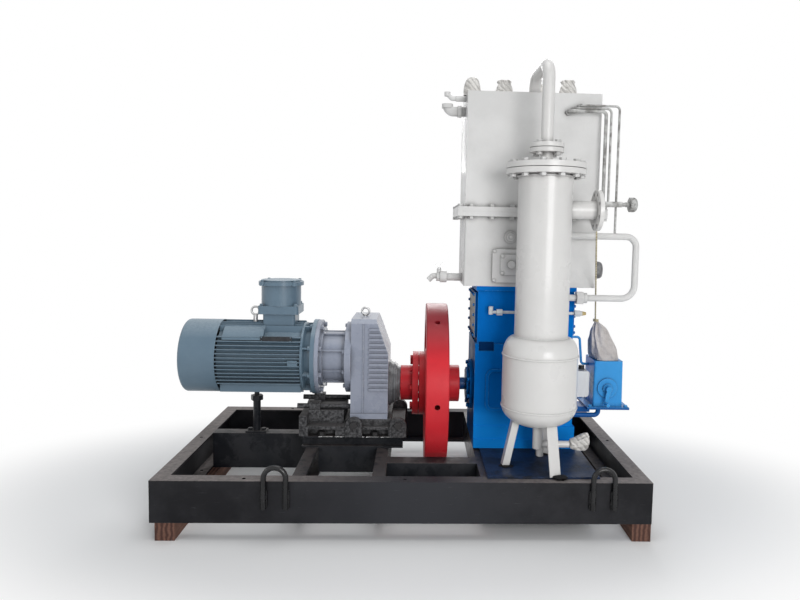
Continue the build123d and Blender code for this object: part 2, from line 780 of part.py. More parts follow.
with BuildPart() as flywheel:
    with BuildSketch(shaft_plane) as flywheel_profile:
        with BuildLine():
            Polyline(
                (coupling_joint + coupling_gap, journal_radius + 5),
                (coupling_joint + coupling_gap, coupling_radius),
                (flywheel_left, coupling_radius),
                (flywheel_left, 190),
                (flywheel_middle - web_half, 210),
                (flywheel_middle - web_half, rim_inner_radius - 16),
                (flywheel_left, rim_inner_radius),
                (flywheel_left, flywheel_radius - 5),
                (flywheel_left + 5, flywheel_radius),
                (flywheel_right - 5, flywheel_radius),
                (flywheel_right, flywheel_radius - 5),
                (flywheel_right, rim_inner_radius),
                (flywheel_middle + web_half, rim_inner_radius - 16),
                (flywheel_middle + web_half, 150),
                (flywheel_right, 120),
                (flywheel_right, 102),
                (flywheel_hub_right - 3, 102),
                (flywheel_hub_right, 99),
                (flywheel_hub_right, journal_radius + 5),
                close=True,
            )
        make_face()
    revolve(flywheel_profile.sketch, axis=Axis((0, shaft_y, shaft_z), (1, 0, 0)))
    for hole in range(barring_holes):
        turn = radians(barring_start + 360 * hole / barring_holes)
        outward = (0, -cos(turn), sin(turn))
        rim_y = shaft_y + outward[1] * flywheel_radius
        rim_point = (flywheel_middle, rim_y, shaft_z + outward[2] * flywheel_radius)
        with BuildSketch(Plane(origin=rim_point, x_dir=(1, 0, 0), z_dir=outward)) as barring:
            Circle(barring_radius)
        extrude(barring.sketch, amount=-70, mode=Mode.SUBTRACT)
    with BuildSketch(Plane.YZ.offset(coupling_joint + coupling_gap)) as sleeve_holes:
        with Locations((shaft_y, shaft_z)):
            with PolarLocations(pin_circle, pin_count):
                Circle(sleeve_radius)
    extrude(sleeve_holes.sketch, amount=28, mode=Mode.SUBTRACT)
flywheel.part.label = "flywheel"
export_step(flywheel.part, "parts/flywheel.step")

# Crankshaft: three journals and two opposed throws with counterweights.
web_radius = 108
pin_half = big_end_width / 2 + 2


def crank_web(x_from, lift):
    """Add one web: a rounded cheek round the pin and a counterweight opposite it."""
    with BuildSketch(Plane.YZ.offset(x_from)) as cheek:
        with Locations((shaft_y, shaft_z)):
            Circle(web_radius)
            with Locations((0, lift * (web_radius / 2 + 8))):
                Rectangle(2 * web_radius, web_radius - 16, mode=Mode.SUBTRACT)
            with Locations((0, lift * crank_throw)):
                Circle(crank_pin_radius + 16)
            Circle(journal_radius + 18)
    extrude(cheek.sketch, amount=web_thick)


with BuildPart() as crankshaft:
    round_x(journal_radius + 5, coupling_joint + coupling_gap, flywheel_hub_right)
    round_x(journal_radius, flywheel_hub_right, row_x[0] - pin_half)
    round_x(journal_radius, row_x[0] + pin_half, row_x[1] - pin_half)
    round_x(journal_radius, row_x[1] + pin_half, case_right - 6)
    for middle, lift in ((row_x[0], 1), (row_x[1], -1)):
        crank_web(middle - pin_half - web_thick, lift)
        crank_web(middle + pin_half, lift)
        round_x(crank_pin_radius, middle - pin_half, middle + pin_half, z=shaft_z + lift * crank_throw)
crankshaft.part.label = "crankshaft"
export_step(crankshaft.part, "parts/crankshaft.step")


# Connecting rods: a big end on the crank pin, a shank, and a fork that stands beside the crosshead.
fork_inner = crosshead_half_x + 6
fork_arm = 14
crown_bottom = 178
crown_top = 202


def connecting_rod(middle, lift):
    """Make one rod, upright above its crank pin."""
    pin_z = shaft_z + lift * crank_throw
    fork_outer = fork_inner + fork_arm
    with BuildPart() as rod:
        round_x(52, middle - big_end_width / 2, middle + big_end_width / 2, z=pin_z)
        with BuildSketch(Plane.XZ.offset(-shaft_y)) as shank:
            with BuildLine():
                Polyline(
                    (middle - 24, pin_z + 40),
                    (middle - 15, pin_z + 90),
                    (middle - 15, pin_z + 150),
                    (middle - fork_outer, pin_z + crown_bottom),
                    (middle - fork_outer, pin_z + rod_length),
                    (middle - fork_inner, pin_z + rod_length),
                    (middle - fork_inner, pin_z + crown_top),
                    (middle + fork_inner, pin_z + crown_top),
                    (middle + fork_inner, pin_z + rod_length),
                    (middle + fork_outer, pin_z + rod_length),
                    (middle + fork_outer, pin_z + crown_bottom),
                    (middle + 15, pin_z + 150),
                    (middle + 15, pin_z + 90),
                    (middle + 24, pin_z + 40),
                    close=True,
                )
            make_face()
        extrude(shank.sketch, amount=20, both=True)
        for start in (middle - fork_outer, middle + fork_inner):
            round_x(30, start, start + fork_arm, z=pin_z + rod_length)
        for start in (middle - fork_inner, middle + fork_inner - 5):
            round_x(14, start, start + 5, z=pin_z + rod_length)
        cap = (pin_z - 32, pin_z + 32)
        block((middle - big_end_width / 2, middle + big_end_width / 2), (shaft_y - 54, shaft_y + 54), cap)
        for side in (-1, 1):
            hexagon(Plane.XY.offset(cap[0] - 14), (middle, shaft_y + side * 43), 22, 14)
            hexagon(Plane.XY.offset(cap[1]), (middle, shaft_y + side * 43), 20, 10)
        round_x(crank_pin_radius + journal_gap, middle - 40, middle + 40, z=pin_z, mode=Mode.SUBTRACT)
    return rod


for number, (middle, lift) in enumerate(((row_x[0], 1), (row_x[1], -1)), start=1):
    rod = connecting_rod(middle, lift)
    rod.part.label = f"connecting_rod_{number}"
    export_step(rod.part, f"parts/connecting_rod_{number}.step")


# Crossheads: blocks that slide between the guides, with the piston rod's nut on top.
def crosshead(middle, lift):
    """Make one crosshead at the height where the crank holds it."""
    level = shaft_z + rod_length + lift * crank_throw
    with BuildPart() as head:
        block(
            (middle - crosshead_half_x, middle + crosshead_half_x),
            (shaft_y - crosshead_half_y, shaft_y + crosshead_half_y),
            (level - crosshead_half_z, level + crosshead_half_z),
        )
        for side in (-1, 1):
            pocket_y = sorted((shaft_y + side * 22, shaft_y + side * (crosshead_half_y - 14)))
            pocket = (middle - crosshead_half_x + 12, middle + crosshead_half_x - 12)
            block(pocket, pocket_y, (level - crosshead_half_z, level + 20), mode=Mode.SUBTRACT)
        round_x(16, middle - crosshead_half_x, middle + crosshead_half_x, z=level, mode=Mode.SUBTRACT)
    return head


for number, (middle, lift) in enumerate(((row_x[0], 1), (row_x[1], -1)), start=1):
    head = crosshead(middle, lift)
    head.part.label = f"crosshead_{number}"
    export_step(head.part, f"parts/crosshead_{number}.step")


# Pistons with their rods, nuts and ring grooves.
def piston(middle, lift, radius):
    """Make one piston on its rod, at the height where the crank holds it."""
    foot = shaft_z + rod_length + lift * crank_throw + crosshead_half_z
    top = head_underside - 5 + (lift - 1) * crank_throw
    with BuildPart() as body:
        hexagon(Plane.XY.offset(foot), (middle, shaft_y), 60, 24)
        round_z(piston_rod_radius, foot + 24, top - piston_height, middle, shaft_y)
        round_z(radius - running_gap, top - piston_height, top, middle, shaft_y)
        for groove in (18, 40, 62):
            with BuildSketch(Plane.XY.offset(top - groove - 8)) as ring_groove:
                with Locations((middle, shaft_y)):
                    Circle(radius)
                    Circle(radius - 5, mode=Mode.SUBTRACT)
            extrude(ring_groove.sketch, amount=8, mode=Mode.SUBTRACT)
    return body


for number, (middle, lift) in enumerate(((row_x[0], 1), (row_x[1], -1)), start=1):
    body = piston(middle, lift, bore_radius[number - 1])
    body.part.label = f"piston_{number}"
    export_step(body.part, f"parts/piston_{number}.step")

# Crankcase: a stepped foot, a lower box around the crank and an upper box around the crossheads.
foot_reach = 24
foot_first = case_bottom + 50
foot_second = case_bottom + 120
upper_inset = 10
guide_half_x = 38
panel = (418, 832, 496, 724)
recess = (case_left + 20, case_left + 101, 822, 869)

with BuildPart() as crankcase:
    block((case_left, case_right + 22), (case_front - 12, case_rear + 12), (case_bottom, foot_first))
    block((case_left, case_right + 12), (case_front - 6, case_rear + 6), (foot_first, foot_second))
    block((case_left, case_right), (case_front, case_rear), (foot_second, case_waist))
    fillet(crankcase.edges().filter_by(Axis.Z).group_by(Axis.X)[-1], 8)
    upper_y = (case_front + upper_inset, case_rear - upper_inset)
    block((case_left + upper_inset, case_right - upper_inset), upper_y, (case_waist, case_top - 24))
    block((case_left, case_right), (case_front, case_rear), (case_top - 24, case_top))
    block(
        (case_left + case_wall, case_right - case_wall),
        (case_front + case_wall, case_rear - case_wall),
        (case_bottom + case_wall, case_waist - case_wall),
        mode=Mode.SUBTRACT,
    )
    block(
        (case_left + upper_inset + case_wall, case_right - upper_inset - case_wall),
        (case_front + upper_inset + case_wall, case_rear - upper_inset - case_wall),
        (case_waist - case_wall, case_top - 24),
        mode=Mode.SUBTRACT,
    )
    for middle in row_x:
        for near, far in (
            (case_front + upper_inset + case_wall, shaft_y - crosshead_half_y - running_gap),
            (shaft_y + crosshead_half_y + running_gap, case_rear - upper_inset - case_wall),
        ):
            block((middle - guide_half_x, middle + guide_half_x), (near, far), (848, case_top - 24))
        round_z(piston_rod_radius + 1, case_top - 30, case_top, middle, shaft_y, mode=Mode.SUBTRACT)
    wall_middle = (case_middle - 28, case_middle + 28)
    inner_y = (case_front + case_wall, case_rear - case_wall)
    block(wall_middle, inner_y, (case_bottom + case_wall, shaft_z + 80))
    for start, end in ((case_left, case_left + case_wall + 22), (case_right - case_wall - 22, case_right)):
        round_x(78, start, end)
    round_x(56, case_left, case_right, mode=Mode.SUBTRACT)
    with BuildSketch(Plane.XZ.offset(-case_front)) as panel_frame:
        with Locations(((panel[0] + panel[1]) / 2, (panel[2] + panel[3]) / 2)):
            RectangleRounded(panel[1] - panel[0], panel[3] - panel[2], 40)
            RectangleRounded(panel[1] - panel[0] - 32, panel[3] - panel[2] - 32, 26, mode=Mode.SUBTRACT)
    extrude(panel_frame.sketch, amount=6)
    block((recess[0], recess[1]), (case_front, case_front + 14), (recess[2], recess[3]), mode=Mode.SUBTRACT)
crankcase.part.label = "crankcase"
export_step(crankcase.part, "parts/crankcase.step")

# Crankcase covers: round bearing covers at both ends and flat plates on the sides.
bearing_cover_radius = 138
end_cover_face = case_right + 14
with BuildPart() as crankcase_covers:
    round_x(bearing_cover_radius, case_left - 16, case_left)
    round_x(92, case_left - 31, case_left - 16)
    round_x(journal_radius + 0.3, case_left - 31, case_left, mode=Mode.SUBTRACT)
    block((case_left - 4, case_left + upper_inset), (-120, 200), (885, 1130))
    round_x(118, case_right, end_cover_face)
    block((case_right - upper_inset, case_right + 4), (-120, 200), (905, 1130))
    block((430, 820), (case_rear - upper_inset, case_rear + 6), (905, 1110))
    block((430, 820), (case_rear, case_rear + 12), (480, 740))
crankcase_covers.part.label = "crankcase_covers"
export_step(crankcase_covers.part, "parts/crankcase_covers.step")

# Lower block: the distance piece between the crankcase and the cylinders, with its top flange.
with BuildPart() as lower_block:
    block((block_left, block_right), (block_front, block_rear), (case_top, joint_z - joint_flange_thick))
    fillet(lower_block.edges().filter_by(Axis.Z), 10)
    flange_x = (block_left - joint_flange_reach, block_right + joint_flange_reach)
    flange_y = (block_front - joint_flange_reach, block_rear + joint_flange_reach)
    block(flange_x, flange_y, (joint_z - joint_flange_thick, joint_z))
    block(
        (block_left + block_wall, block_right - block_wall),
        (block_front + block_wall, block_rear - block_wall),
        (case_top + 16, joint_z - joint_flange_thick),
        mode=Mode.SUBTRACT,
    )
    for middle in row_x:
        round_z(piston_rod_radius + 1, case_top, joint_z, middle, shaft_y, mode=Mode.SUBTRACT)
lower_block.part.label = "lower_block"
export_step(lower_block.part, "parts/lower_block.step")

# Cylinders: liners with closed heads, standing on the lower block's flange inside the jacket.
with BuildPart() as cylinders:
    for middle, bore in zip(row_x, bore_radius):
        round_z(bore + 14, joint_z, head_underside + 45, middle, shaft_y)
        round_z(bore, joint_z, head_underside, middle, shaft_y, mode=Mode.SUBTRACT)
cylinders.part.label = "cylinders"
export_step(cylinders.part, "parts/cylinders.step")

# Water jacket: the welded box round the cylinders, with its joint flange, top plate and port stubs.
stub_places = ((321, -20), (500, 40), (705, 120), (843, 0))
stub_radius = 30
stub_height = 55

with BuildPart() as water_jacket:
    block((block_left, block_right), (block_front, block_rear), (joint_z + joint_flange_thick, block_top))
    block(flange_x, flange_y, (joint_z, joint_z + joint_flange_thick))
    block(
        (block_left + block_wall, block_right - block_wall),
        (block_front + block_wall, block_rear - block_wall),
        (joint_z, block_top - 12),
        mode=Mode.SUBTRACT,
    )
    for x, y in stub_places:
        round_z(stub_radius, block_top, block_top + stub_height, x, y)
        round_z(stub_radius - 5, block_top - 12, block_top + stub_height, x, y, mode=Mode.SUBTRACT)
water_jacket.part.label = "water_jacket"
export_step(water_jacket.part, "parts/water_jacket.step")

# Inspection plate on the front of the lower block, with a smaller plate on it and a round port above.
plate_thick = 16
plate_face = block_front - plate_thick - 8
with BuildPart() as inspection_plate:
    with BuildSketch(Plane.XZ.offset(-block_front)) as outer_plate:
        with Locations((540, 1278)):
            RectangleRounded(210, 176, 16)
    extrude(outer_plate.sketch, amount=plate_thick)
    with BuildSketch(Plane.XZ.offset(-block_front + plate_thick)) as inner_plate:
        with Locations((552, 1285)):
            RectangleRounded(148, 108, 6)
    extrude(inner_plate.sketch, amount=8)
    round_y(12, plate_face - 8, plate_face, 533, 1286)
    round_y(20, plate_face - 22, plate_face - 8, 533, 1286)
    for place_x, place_z in ((528, 1430),):
        round_y(32, block_front - 12, block_front, place_x, place_z)
        round_y(22, block_front - 24, block_front - 12, place_x, place_z)
        round_y(9, block_front - 40, block_front - 24, place_x, place_z)
inspection_plate.part.label = "inspection_plate"
export_step(inspection_plate.part, "parts/inspection_plate.step")


# Separator: a pressure vessel with a wide foot, a narrower body, a flange on top and a side nozzle.
def vessel_outline(inset):
    """Draw half of the vessel's section, inset from its outside, on the upright plane through its axis."""
    low = sep_lower_radius - inset
    high = sep_upper_radius - inset
    foot = sep_bottom + inset
    top = sep_flange_z + sep_flange_thick
    with BuildLine() as outline:
        EllipticalCenterArc((0, sep_head_top), low, sep_head_top - foot, start_angle=270, arc_size=90)
        Line((low, sep_head_top), (low, sep_shoulder_bottom))
        shoulder_rise = sep_shoulder_top - sep_shoulder_bottom - inset
        shoulder_centre = (high, sep_shoulder_bottom)
        EllipticalCenterArc(shoulder_centre, low - high, shoulder_rise, start_angle=0, arc_size=90)
        Line((high, sep_shoulder_bottom + shoulder_rise), (high, top))
        Line((high, top), (0, top))
        Line((0, top), (0, foot))
    make_face(outline.edges())


vessel_plane = Plane(origin=(sep_x, sep_y, 0), x_dir=(1, 0, 0), z_dir=(0, -1, 0))
vessel_axis = Axis((sep_x, sep_y, 0), (0, 0, 1))
drain_z = 402
drain_end = 816

with BuildPart() as separator_shell:
    with BuildSketch(vessel_plane) as outside:
        vessel_outline(0)
    revolve(outside.sketch, axis=vessel_axis)
    round_x(nozzle_radius, sep_x, nozzle_face, y=sep_y, z=nozzle_z)
    round_x(nozzle_flange_radius, nozzle_face - nozzle_flange_thick, nozzle_face, y=sep_y, z=nozzle_z)
    round_z(sep_flange_radius, sep_flange_z, sep_flange_z + sep_flange_thick, sep_x, sep_y)
    round_z(25, drain_z - 20, sep_bottom + 6, sep_x, sep_y)
    round_x(17, sep_x, drain_end, y=sep_y, z=drain_z)
    round_z(17, drain_z - 60, drain_z - 10, sep_x + 14, sep_y)
    with BuildSketch(vessel_plane) as inside:
        vessel_outline(sep_wall)
    revolve(inside.sketch, axis=vessel_axis, mode=Mode.SUBTRACT)
    round_x(nozzle_bore, sep_x, nozzle_face, y=sep_y, z=nozzle_z, mode=Mode.SUBTRACT)
    with BuildSketch(Plane.YZ.offset(nozzle_face)) as nozzle_holes:
        with Locations((sep_y, nozzle_z)):
            with PolarLocations(nozzle_bolt_circle / 2, 8, start_angle=22.5):
                Circle(9)
    extrude(nozzle_holes.sketch, amount=-nozzle_flange_thick, mode=Mode.SUBTRACT)
    round_x(12, sep_x, drain_end, y=sep_y, z=drain_z, mode=Mode.SUBTRACT)
separator_shell.part.label = "separator_shell"
export_step(separator_shell.part, "parts/separator_shell.step")

# Separator cover: gasket, blind flange, neck and the lower half of the small flange pair.
cover_z = sep_flange_z + sep_flange_thick
blind_z = cover_z + gasket_thick
small_gasket_z = small_flange_z + small_flange_thick
upper_flange_z = small_gasket_z + gasket_thick
with BuildPart() as separator_cover:
    round_z(160, cover_z, blind_z, sep_x, sep_y)
    round_z(sep_flange_radius, blind_z, blind_z + sep_flange_thick, sep_x, sep_y)
    round_z(pipe_radius, blind_z, small_flange_z, sep_x, sep_y)
    round_z(small_flange_radius, small_flange_z, small_gasket_z, sep_x, sep_y)
    round_z(51, small_gasket_z, upper_flange_z, sep_x, sep_y)
    round_z(pipe_bore, cover_z, upper_flange_z, sep_x, sep_y, mode=Mode.SUBTRACT)
separator_cover.part.label = "separator_cover"
export_step(separator_cover.part, "parts/separator_cover.step")

# Separator legs: three splayed angles from the bottom head to feet on the sole plate.
leg_angles = (180, -70, 70)
leg_top_radius = 116
leg_foot_radius = 172
leg_top_z = 570

with BuildPart() as separator_legs:
    for angle in leg_angles:
        outward = (cos(radians(angle)), sin(radians(angle)))
        side = (-outward[1], outward[0], 0)
        middle = Vector(sep_x, sep_y, 0)
        reach = Vector(outward[0], outward[1], 0)
        foot_point = middle + reach * leg_foot_radius + Vector(0, 0, case_bottom)
        top_point = middle + reach * leg_top_radius + Vector(0, 0, leg_top_z)
        rise = (top_point - foot_point).normalized()
        leg_plane = Plane(origin=foot_point - rise * 20, x_dir=side, z_dir=rise)
        with BuildSketch(leg_plane) as angle_section:
            with Locations((0, -3)):
                Rectangle(58, 6)
            with Locations((26, 14)):
                Rectangle(6, 28)
        extrude(angle_section.sketch, amount=(top_point - foot_point).length + 20)
    block((300, 1000), (sep_y - 240, sep_y + 240), (case_bottom - 60, case_bottom), mode=Mode.SUBTRACT)
    revolve(outside.sketch, axis=vessel_axis, mode=Mode.SUBTRACT)
separator_legs.part.label = "separator_legs"
export_step(separator_legs.part, "parts/separator_legs.step")

# Delivery pipe: up from the separator, back over the block and down into its top.
with BuildPart() as delivery_pipe:
    bent_pipe(
        ((sep_x, sep_y, upper_flange_z), (sep_x, sep_y, delivery_top),
         (delivery_back_x, delivery_back_y, delivery_top), (delivery_back_x, delivery_back_y, block_top)),
        76, pipe_radius, pipe_bore,
    )
    with BuildSketch(Plane.XY.offset(upper_flange_z)) as upper_flange:
        with Locations((sep_x, sep_y)):
            Circle(small_flange_radius)
            Circle(pipe_bore, mode=Mode.SUBTRACT)
    extrude(upper_flange.sketch, amount=small_flange_thick)
delivery_pipe.part.label = "delivery_pipe"
export_step(delivery_pipe.part, "parts/delivery_pipe.step")


# Hexagon bolts and nuts: the separator's flanges, the blocks' joint and the gearbox base.
bolt_across = 27
head_height = 13
joint_bolts_x = [block_left - 26] + [318 + step * 108 for step in range(7)] + [block_right + 26]
joint_bolts_y = (-65, 40, 145)
joint_bolt_places = [(x, y) for x in joint_bolts_x for y in (block_front - 22, block_rear + 22)]
joint_bolt_places += [(x, y) for x in (block_left - 22, block_right + 22) for y in joint_bolts_y]

with BuildPart() as hex_bolts:
    for x, y in joint_bolt_places:
        hexagon(Plane.XY.offset(joint_z + joint_flange_thick), (x, y), bolt_across, head_height)
        hexagon(Plane.XY.offset(joint_z - joint_flange_thick - head_height), (x, y), bolt_across, head_height)
    for circle, count, low, high, across in (
        (170, 12, sep_flange_z, blind_z + sep_flange_thick, 30),
        (62.5, 4, small_flange_z, upper_flange_z + small_flange_thick, 27),
    ):
        for bolt in range(count):
            turn = 2 * pi * (bolt + 0.5) / count
            x = sep_x + circle * cos(turn)
            y = sep_y + circle * sin(turn)
            hexagon(Plane.XY.offset(high), (x, y), across, 13)
            hexagon(Plane.XY.offset(low - 15), (x, y), across, 15)
    for place in clamp_lugs:
        hexagon(Plane.XZ.offset(-(base_front - 12)), (place, lug_height + 8), 36, 20)
    for pocket in bolt_pockets:
        pocket_middle = (pocket[0] + pocket[1]) / 2
        hexagon(Plane.XY.offset(base_bottom), (pocket_middle, base_front + 24), 34, 22)
hex_bolts.part.label = "hex_bolts"
export_step(hex_bolts.part, "parts/hex_bolts.step")

# Cooling pipe: out of the lower block's front, round its right side and back to the crankcase.
cooling_top = 1444
cooling_low = 1120
cooling_right = 1181
with BuildPart() as cooling_pipe:
    bent_pipe(
        (
            (720, block_front, cooling_top),
            (720, pipe_plane, cooling_top),
            (cooling_right, pipe_plane, cooling_top),
            (cooling_right, pipe_plane, cooling_low),
            (800, pipe_plane, cooling_low),
            (800, case_front, cooling_low),
        ),
        (40, 55, 70, 40), 17,
    )
    with BuildSketch(Plane.YZ.offset(874)) as union:
        with Locations((pipe_plane, cooling_low)):
            RegularPolygon(36, 6)
    extrude(union.sketch, amount=36)
    round_x(27, 910, 930, y=pipe_plane, z=cooling_low)
cooling_pipe.part.label = "cooling_pipe"
export_step(cooling_pipe.part, "parts/cooling_pipe.step")

# Oil line across the crankcase's front, with its fittings and a blind end.
oil_z = 1035
oil_y = -205
with BuildPart() as oil_line:
    round_y(9, oil_y, case_front + upper_inset, 432, oil_z + 18)
    round_z(12, oil_z - 12, oil_z + 30, 432, oil_y)
    round_x(8, 432, 905, y=oil_y, z=oil_z)
    with Locations(Location((920, oil_y, oil_z), (0, 90, 0))):
        Cone(14, 8, 32)
    for start in (462, 874):
        with BuildSketch(Plane.YZ.offset(start)) as fitting:
            with Locations((oil_y, oil_z)):
                RegularPolygon(18, 6)
        extrude(fitting.sketch, amount=30)
oil_line.part.label = "oil_line"
export_step(oil_line.part, "parts/oil_line.step")

# Water fittings at the jacket's top left: an elbow that opens upwards and a plugged branch above it.
elbow_x = 190
elbow_z = 2101
elbow_top = 2140
elbow_plane = Plane(origin=(block_left, 0, elbow_z), x_dir=(0, 1, 0), z_dir=(-1, 0, 0))
with BuildPart() as water_fittings:
    with BuildSketch(elbow_plane) as elbow_section:
        Circle(26)
    with BuildLine() as elbow_path:
        FilletPolyline(
            (block_left, 0, elbow_z), (elbow_x, 0, elbow_z), (elbow_x, 0, elbow_top + 26), radius=34
        )
    sweep(elbow_section.sketch, path=elbow_path.line)
    block((elbow_x - 40, elbow_x + 40), (-40, 40), (elbow_top, elbow_top + 40), mode=Mode.SUBTRACT)
    round_z(30, elbow_top - 22, elbow_top, elbow_x, 0)
    round_x(32, 246, 266, y=0, z=elbow_z)
    round_z(20, elbow_top - 25, elbow_top, elbow_x, 0, mode=Mode.SUBTRACT)
    bent_pipe(((block_left, -60, 2158), (210, -60, 2158), (190, -60, 2178)), 12, 12)
    round_x(15, 232, block_left, y=-60, z=2158)
    round_z(16, 2170, 2192, 186, -60)
water_fittings.part.label = "water_fittings"
export_step(water_fittings.part, "parts/water_fittings.step")

# Drain cock on the lower block's left side, and its lever.
cock_z = 1203
cock_x = 162
with BuildPart() as drain_cock:
    round_x(21, 204, block_left, y=0, z=cock_z)
    round_x(31, 168, 204, y=0, z=cock_z)
    round_x(24, 148, 168, y=0, z=cock_z)
    round_z(12, cock_z + 20, cock_z + 41, cock_x, 0)
    bent_pipe(((150, 0, cock_z + 4), (128, 0, cock_z + 4), (104, 0, cock_z - 20)), 12, 15)
drain_cock.part.label = "drain_cock"
export_step(drain_cock.part, "parts/drain_cock.step")

with BuildPart() as drain_lever:
    round_z(10, cock_z + 41.3, cock_z + 50, cock_x, 0)
    with BuildSketch(Plane.XZ.offset(-4)) as grip:
        with BuildLine():
            Polyline(
                (cock_x - 7, cock_z + 46), (cock_x + 7, cock_z + 46), (cock_x + 28, cock_z + 72),
                (cock_x + 20, cock_z + 78), (cock_x, cock_z + 56), (cock_x - 20, cock_z + 78),
                (cock_x - 28, cock_z + 72), close=True,
            )
        make_face()
    extrude(grip.sketch, amount=8)
drain_lever.part.label = "drain_lever"
export_step(drain_lever.part, "parts/drain_lever.step")

# Gauge lines: three thin tubes from the jacket's front down to a valve block above the cooling pipe.
gauge_top = 2096
valve_z = 1610
valve_left = 985
valve_right = 1096
gauge_routes = ((811, 997, 2082, 9), (842, 1024, 2096, 6), (873, 1066, 2110, 6))
with BuildPart() as gauge_lines:
    for start_x, drop_x, level, gauge_radius in gauge_routes:
        bent_pipe(
            ((start_x, block_front, level), (start_x, pipe_plane, level), (drop_x, pipe_plane, level),
             (drop_x, pipe_plane, valve_z + 12)),
            22, gauge_radius,
        )
        round_y(14, block_front - 28, block_front, start_x, level)
    block((valve_left, valve_right), (pipe_plane - 13, pipe_plane + 13), (valve_z - 14, valve_z + 14))
    round_x(11, valve_right, valve_right + 20, y=pipe_plane, z=valve_z)
    round_z(6, cooling_top + 17, valve_z - 10, 1066, pipe_plane)
gauge_lines.part.label = "gauge_lines"
export_step(gauge_lines.part, "parts/gauge_lines.step")

# Handwheel of the needle valve.
with BuildPart() as handwheel:
    wheel_left = valve_right + 20.3
    round_x(13, wheel_left, wheel_left + 20, y=pipe_plane, z=valve_z)
    round_x(38, wheel_left + 20, wheel_left + 58, y=pipe_plane, z=valve_z)
    fillet(handwheel.edges().filter_by(GeomType.CIRCLE).group_by(Axis.X)[-1], 18)
    with BuildSketch(Plane.YZ.offset(wheel_left + 20)) as grips:
        with Locations((pipe_plane, valve_z)):
            with PolarLocations(41, 6):
                Circle(7)
    extrude(grips.sketch, amount=20, mode=Mode.SUBTRACT)
handwheel.part.label = "handwheel"
export_step(handwheel.part, "parts/handwheel.step")

# Lubricator: oil box on a base plate, its bracket on the crankcase, suction pipe and feed tube.
plate_left = 985
plate_right = 1218
plate_front = -125
plate_rear = 122
crank_boss_radius = 54
with BuildPart() as lubricator:
    with BuildSketch(Plane.XY.offset(lube_bottom)) as box_foot:
        with Locations(((lube_left + lube_right) / 2, (lube_front + lube_rear) / 2)):
            RectangleRounded(lube_right - lube_left, lube_rear - lube_front, 10)
    with BuildSketch(Plane.XY.offset(lube_top)) as box_head:
        with Locations(((lube_left + lube_right) / 2, (lube_front + lube_rear) / 2)):
            RectangleRounded(lube_right - lube_left - 6, lube_rear - lube_front - 6, 10)
    loft([box_foot.sketch.face(), box_head.sketch.face()])
    block((plate_left, plate_right), (plate_front, plate_rear), (lube_bottom - lube_plate_thick, lube_bottom))
    round_y(crank_boss_radius, lube_front - 8, lube_front + 10, lube_crank_x, lube_crank_z)
    round_y(26, lube_front - 20, lube_front - 8, lube_crank_x, lube_crank_z)
    block((end_cover_face, plate_left + 30), (-60, 60), (lube_bottom - 42, lube_bottom - lube_plate_thick))
    bent_pipe(
        ((1060, -70, lube_bottom - lube_plate_thick), (1060, -70, 452), (case_right, -70, 452)), 24, 13
    )
    bent_pipe(
        ((case_right - upper_inset, 50, 870), (972, 50, 870), (986, 50, 716), (lube_left + 5, 50, 716)), 18, 7
    )
lubricator.part.label = "lubricator"
export_step(lubricator.part, "parts/lubricator.step")

# Lubricator crank: a hub, an arm and a turned grip.
crank_face = lube_front - 34
with BuildPart() as lubricator_crank:
    round_y(16, crank_face - 12, lube_front - 20.3, lube_crank_x, lube_crank_z)
    with BuildSketch(Plane.XZ.offset(-crank_face)) as arm:
        with BuildLine():
            Polyline(
                (lube_crank_x - 12, lube_crank_z), (lube_crank_x + 12, lube_crank_z),
                (lube_crank_x - 6, lube_crank_z - 84), (lube_crank_x - 24, lube_crank_z - 84), close=True,
            )
        make_face()
    extrude(arm.sketch, amount=12)
    round_y(9, crank_face - 50, crank_face, lube_crank_x - 15, lube_crank_z - 78)
lubricator_crank.part.label = "lubricator_crank"
export_step(lubricator_crank.part, "parts/lubricator_crank.step")

# Motor of the lubricator's pump, under a white cover on the crankcase's right side.
with BuildPart() as lubricator_motor:
    block((end_cover_face, 1001), (-108, 0), (562, 706))
    fillet(lubricator_motor.edges().group_by(Axis.X)[-1], 24)
    round_z(16, 706, 728, 962, -54)
lubricator_motor.part.label = "lubricator_motor"
export_step(lubricator_motor.part, "parts/lubricator_motor.step")


# Wrapping film over the open ports: hollow caps on the stubs, and solid bundles on the two valves.
def film_cap(x, y):
    """Add one hollow cap of film over a stub on the jacket's top."""
    with BuildSketch(Plane.XY.offset(block_top + 0.3)) as low:
        with Locations((x, y)):
            Circle(50)
    with BuildSketch(Plane.XY.offset(block_top + 100)) as high:
        with Locations((x, y)):
            Circle(37)
    loft([low.sketch.face(), high.sketch.face()])
    round_z(stub_radius + 0.5, block_top, block_top + stub_height + 0.5, x, y, mode=Mode.SUBTRACT)


with BuildPart() as film_wraps:
    for x, y in stub_places:
        film_cap(x, y)
    block((drain_end + 0.3, 918), (sep_y - 40, sep_y + 40), (drain_z - 36, drain_z + 70))
    block((block_right + 0.3, 1068), (-66, 16), (1208, 1306))
film_wraps.part.label = "film_wraps"
export_step(film_wraps.part, "parts/film_wraps.step")

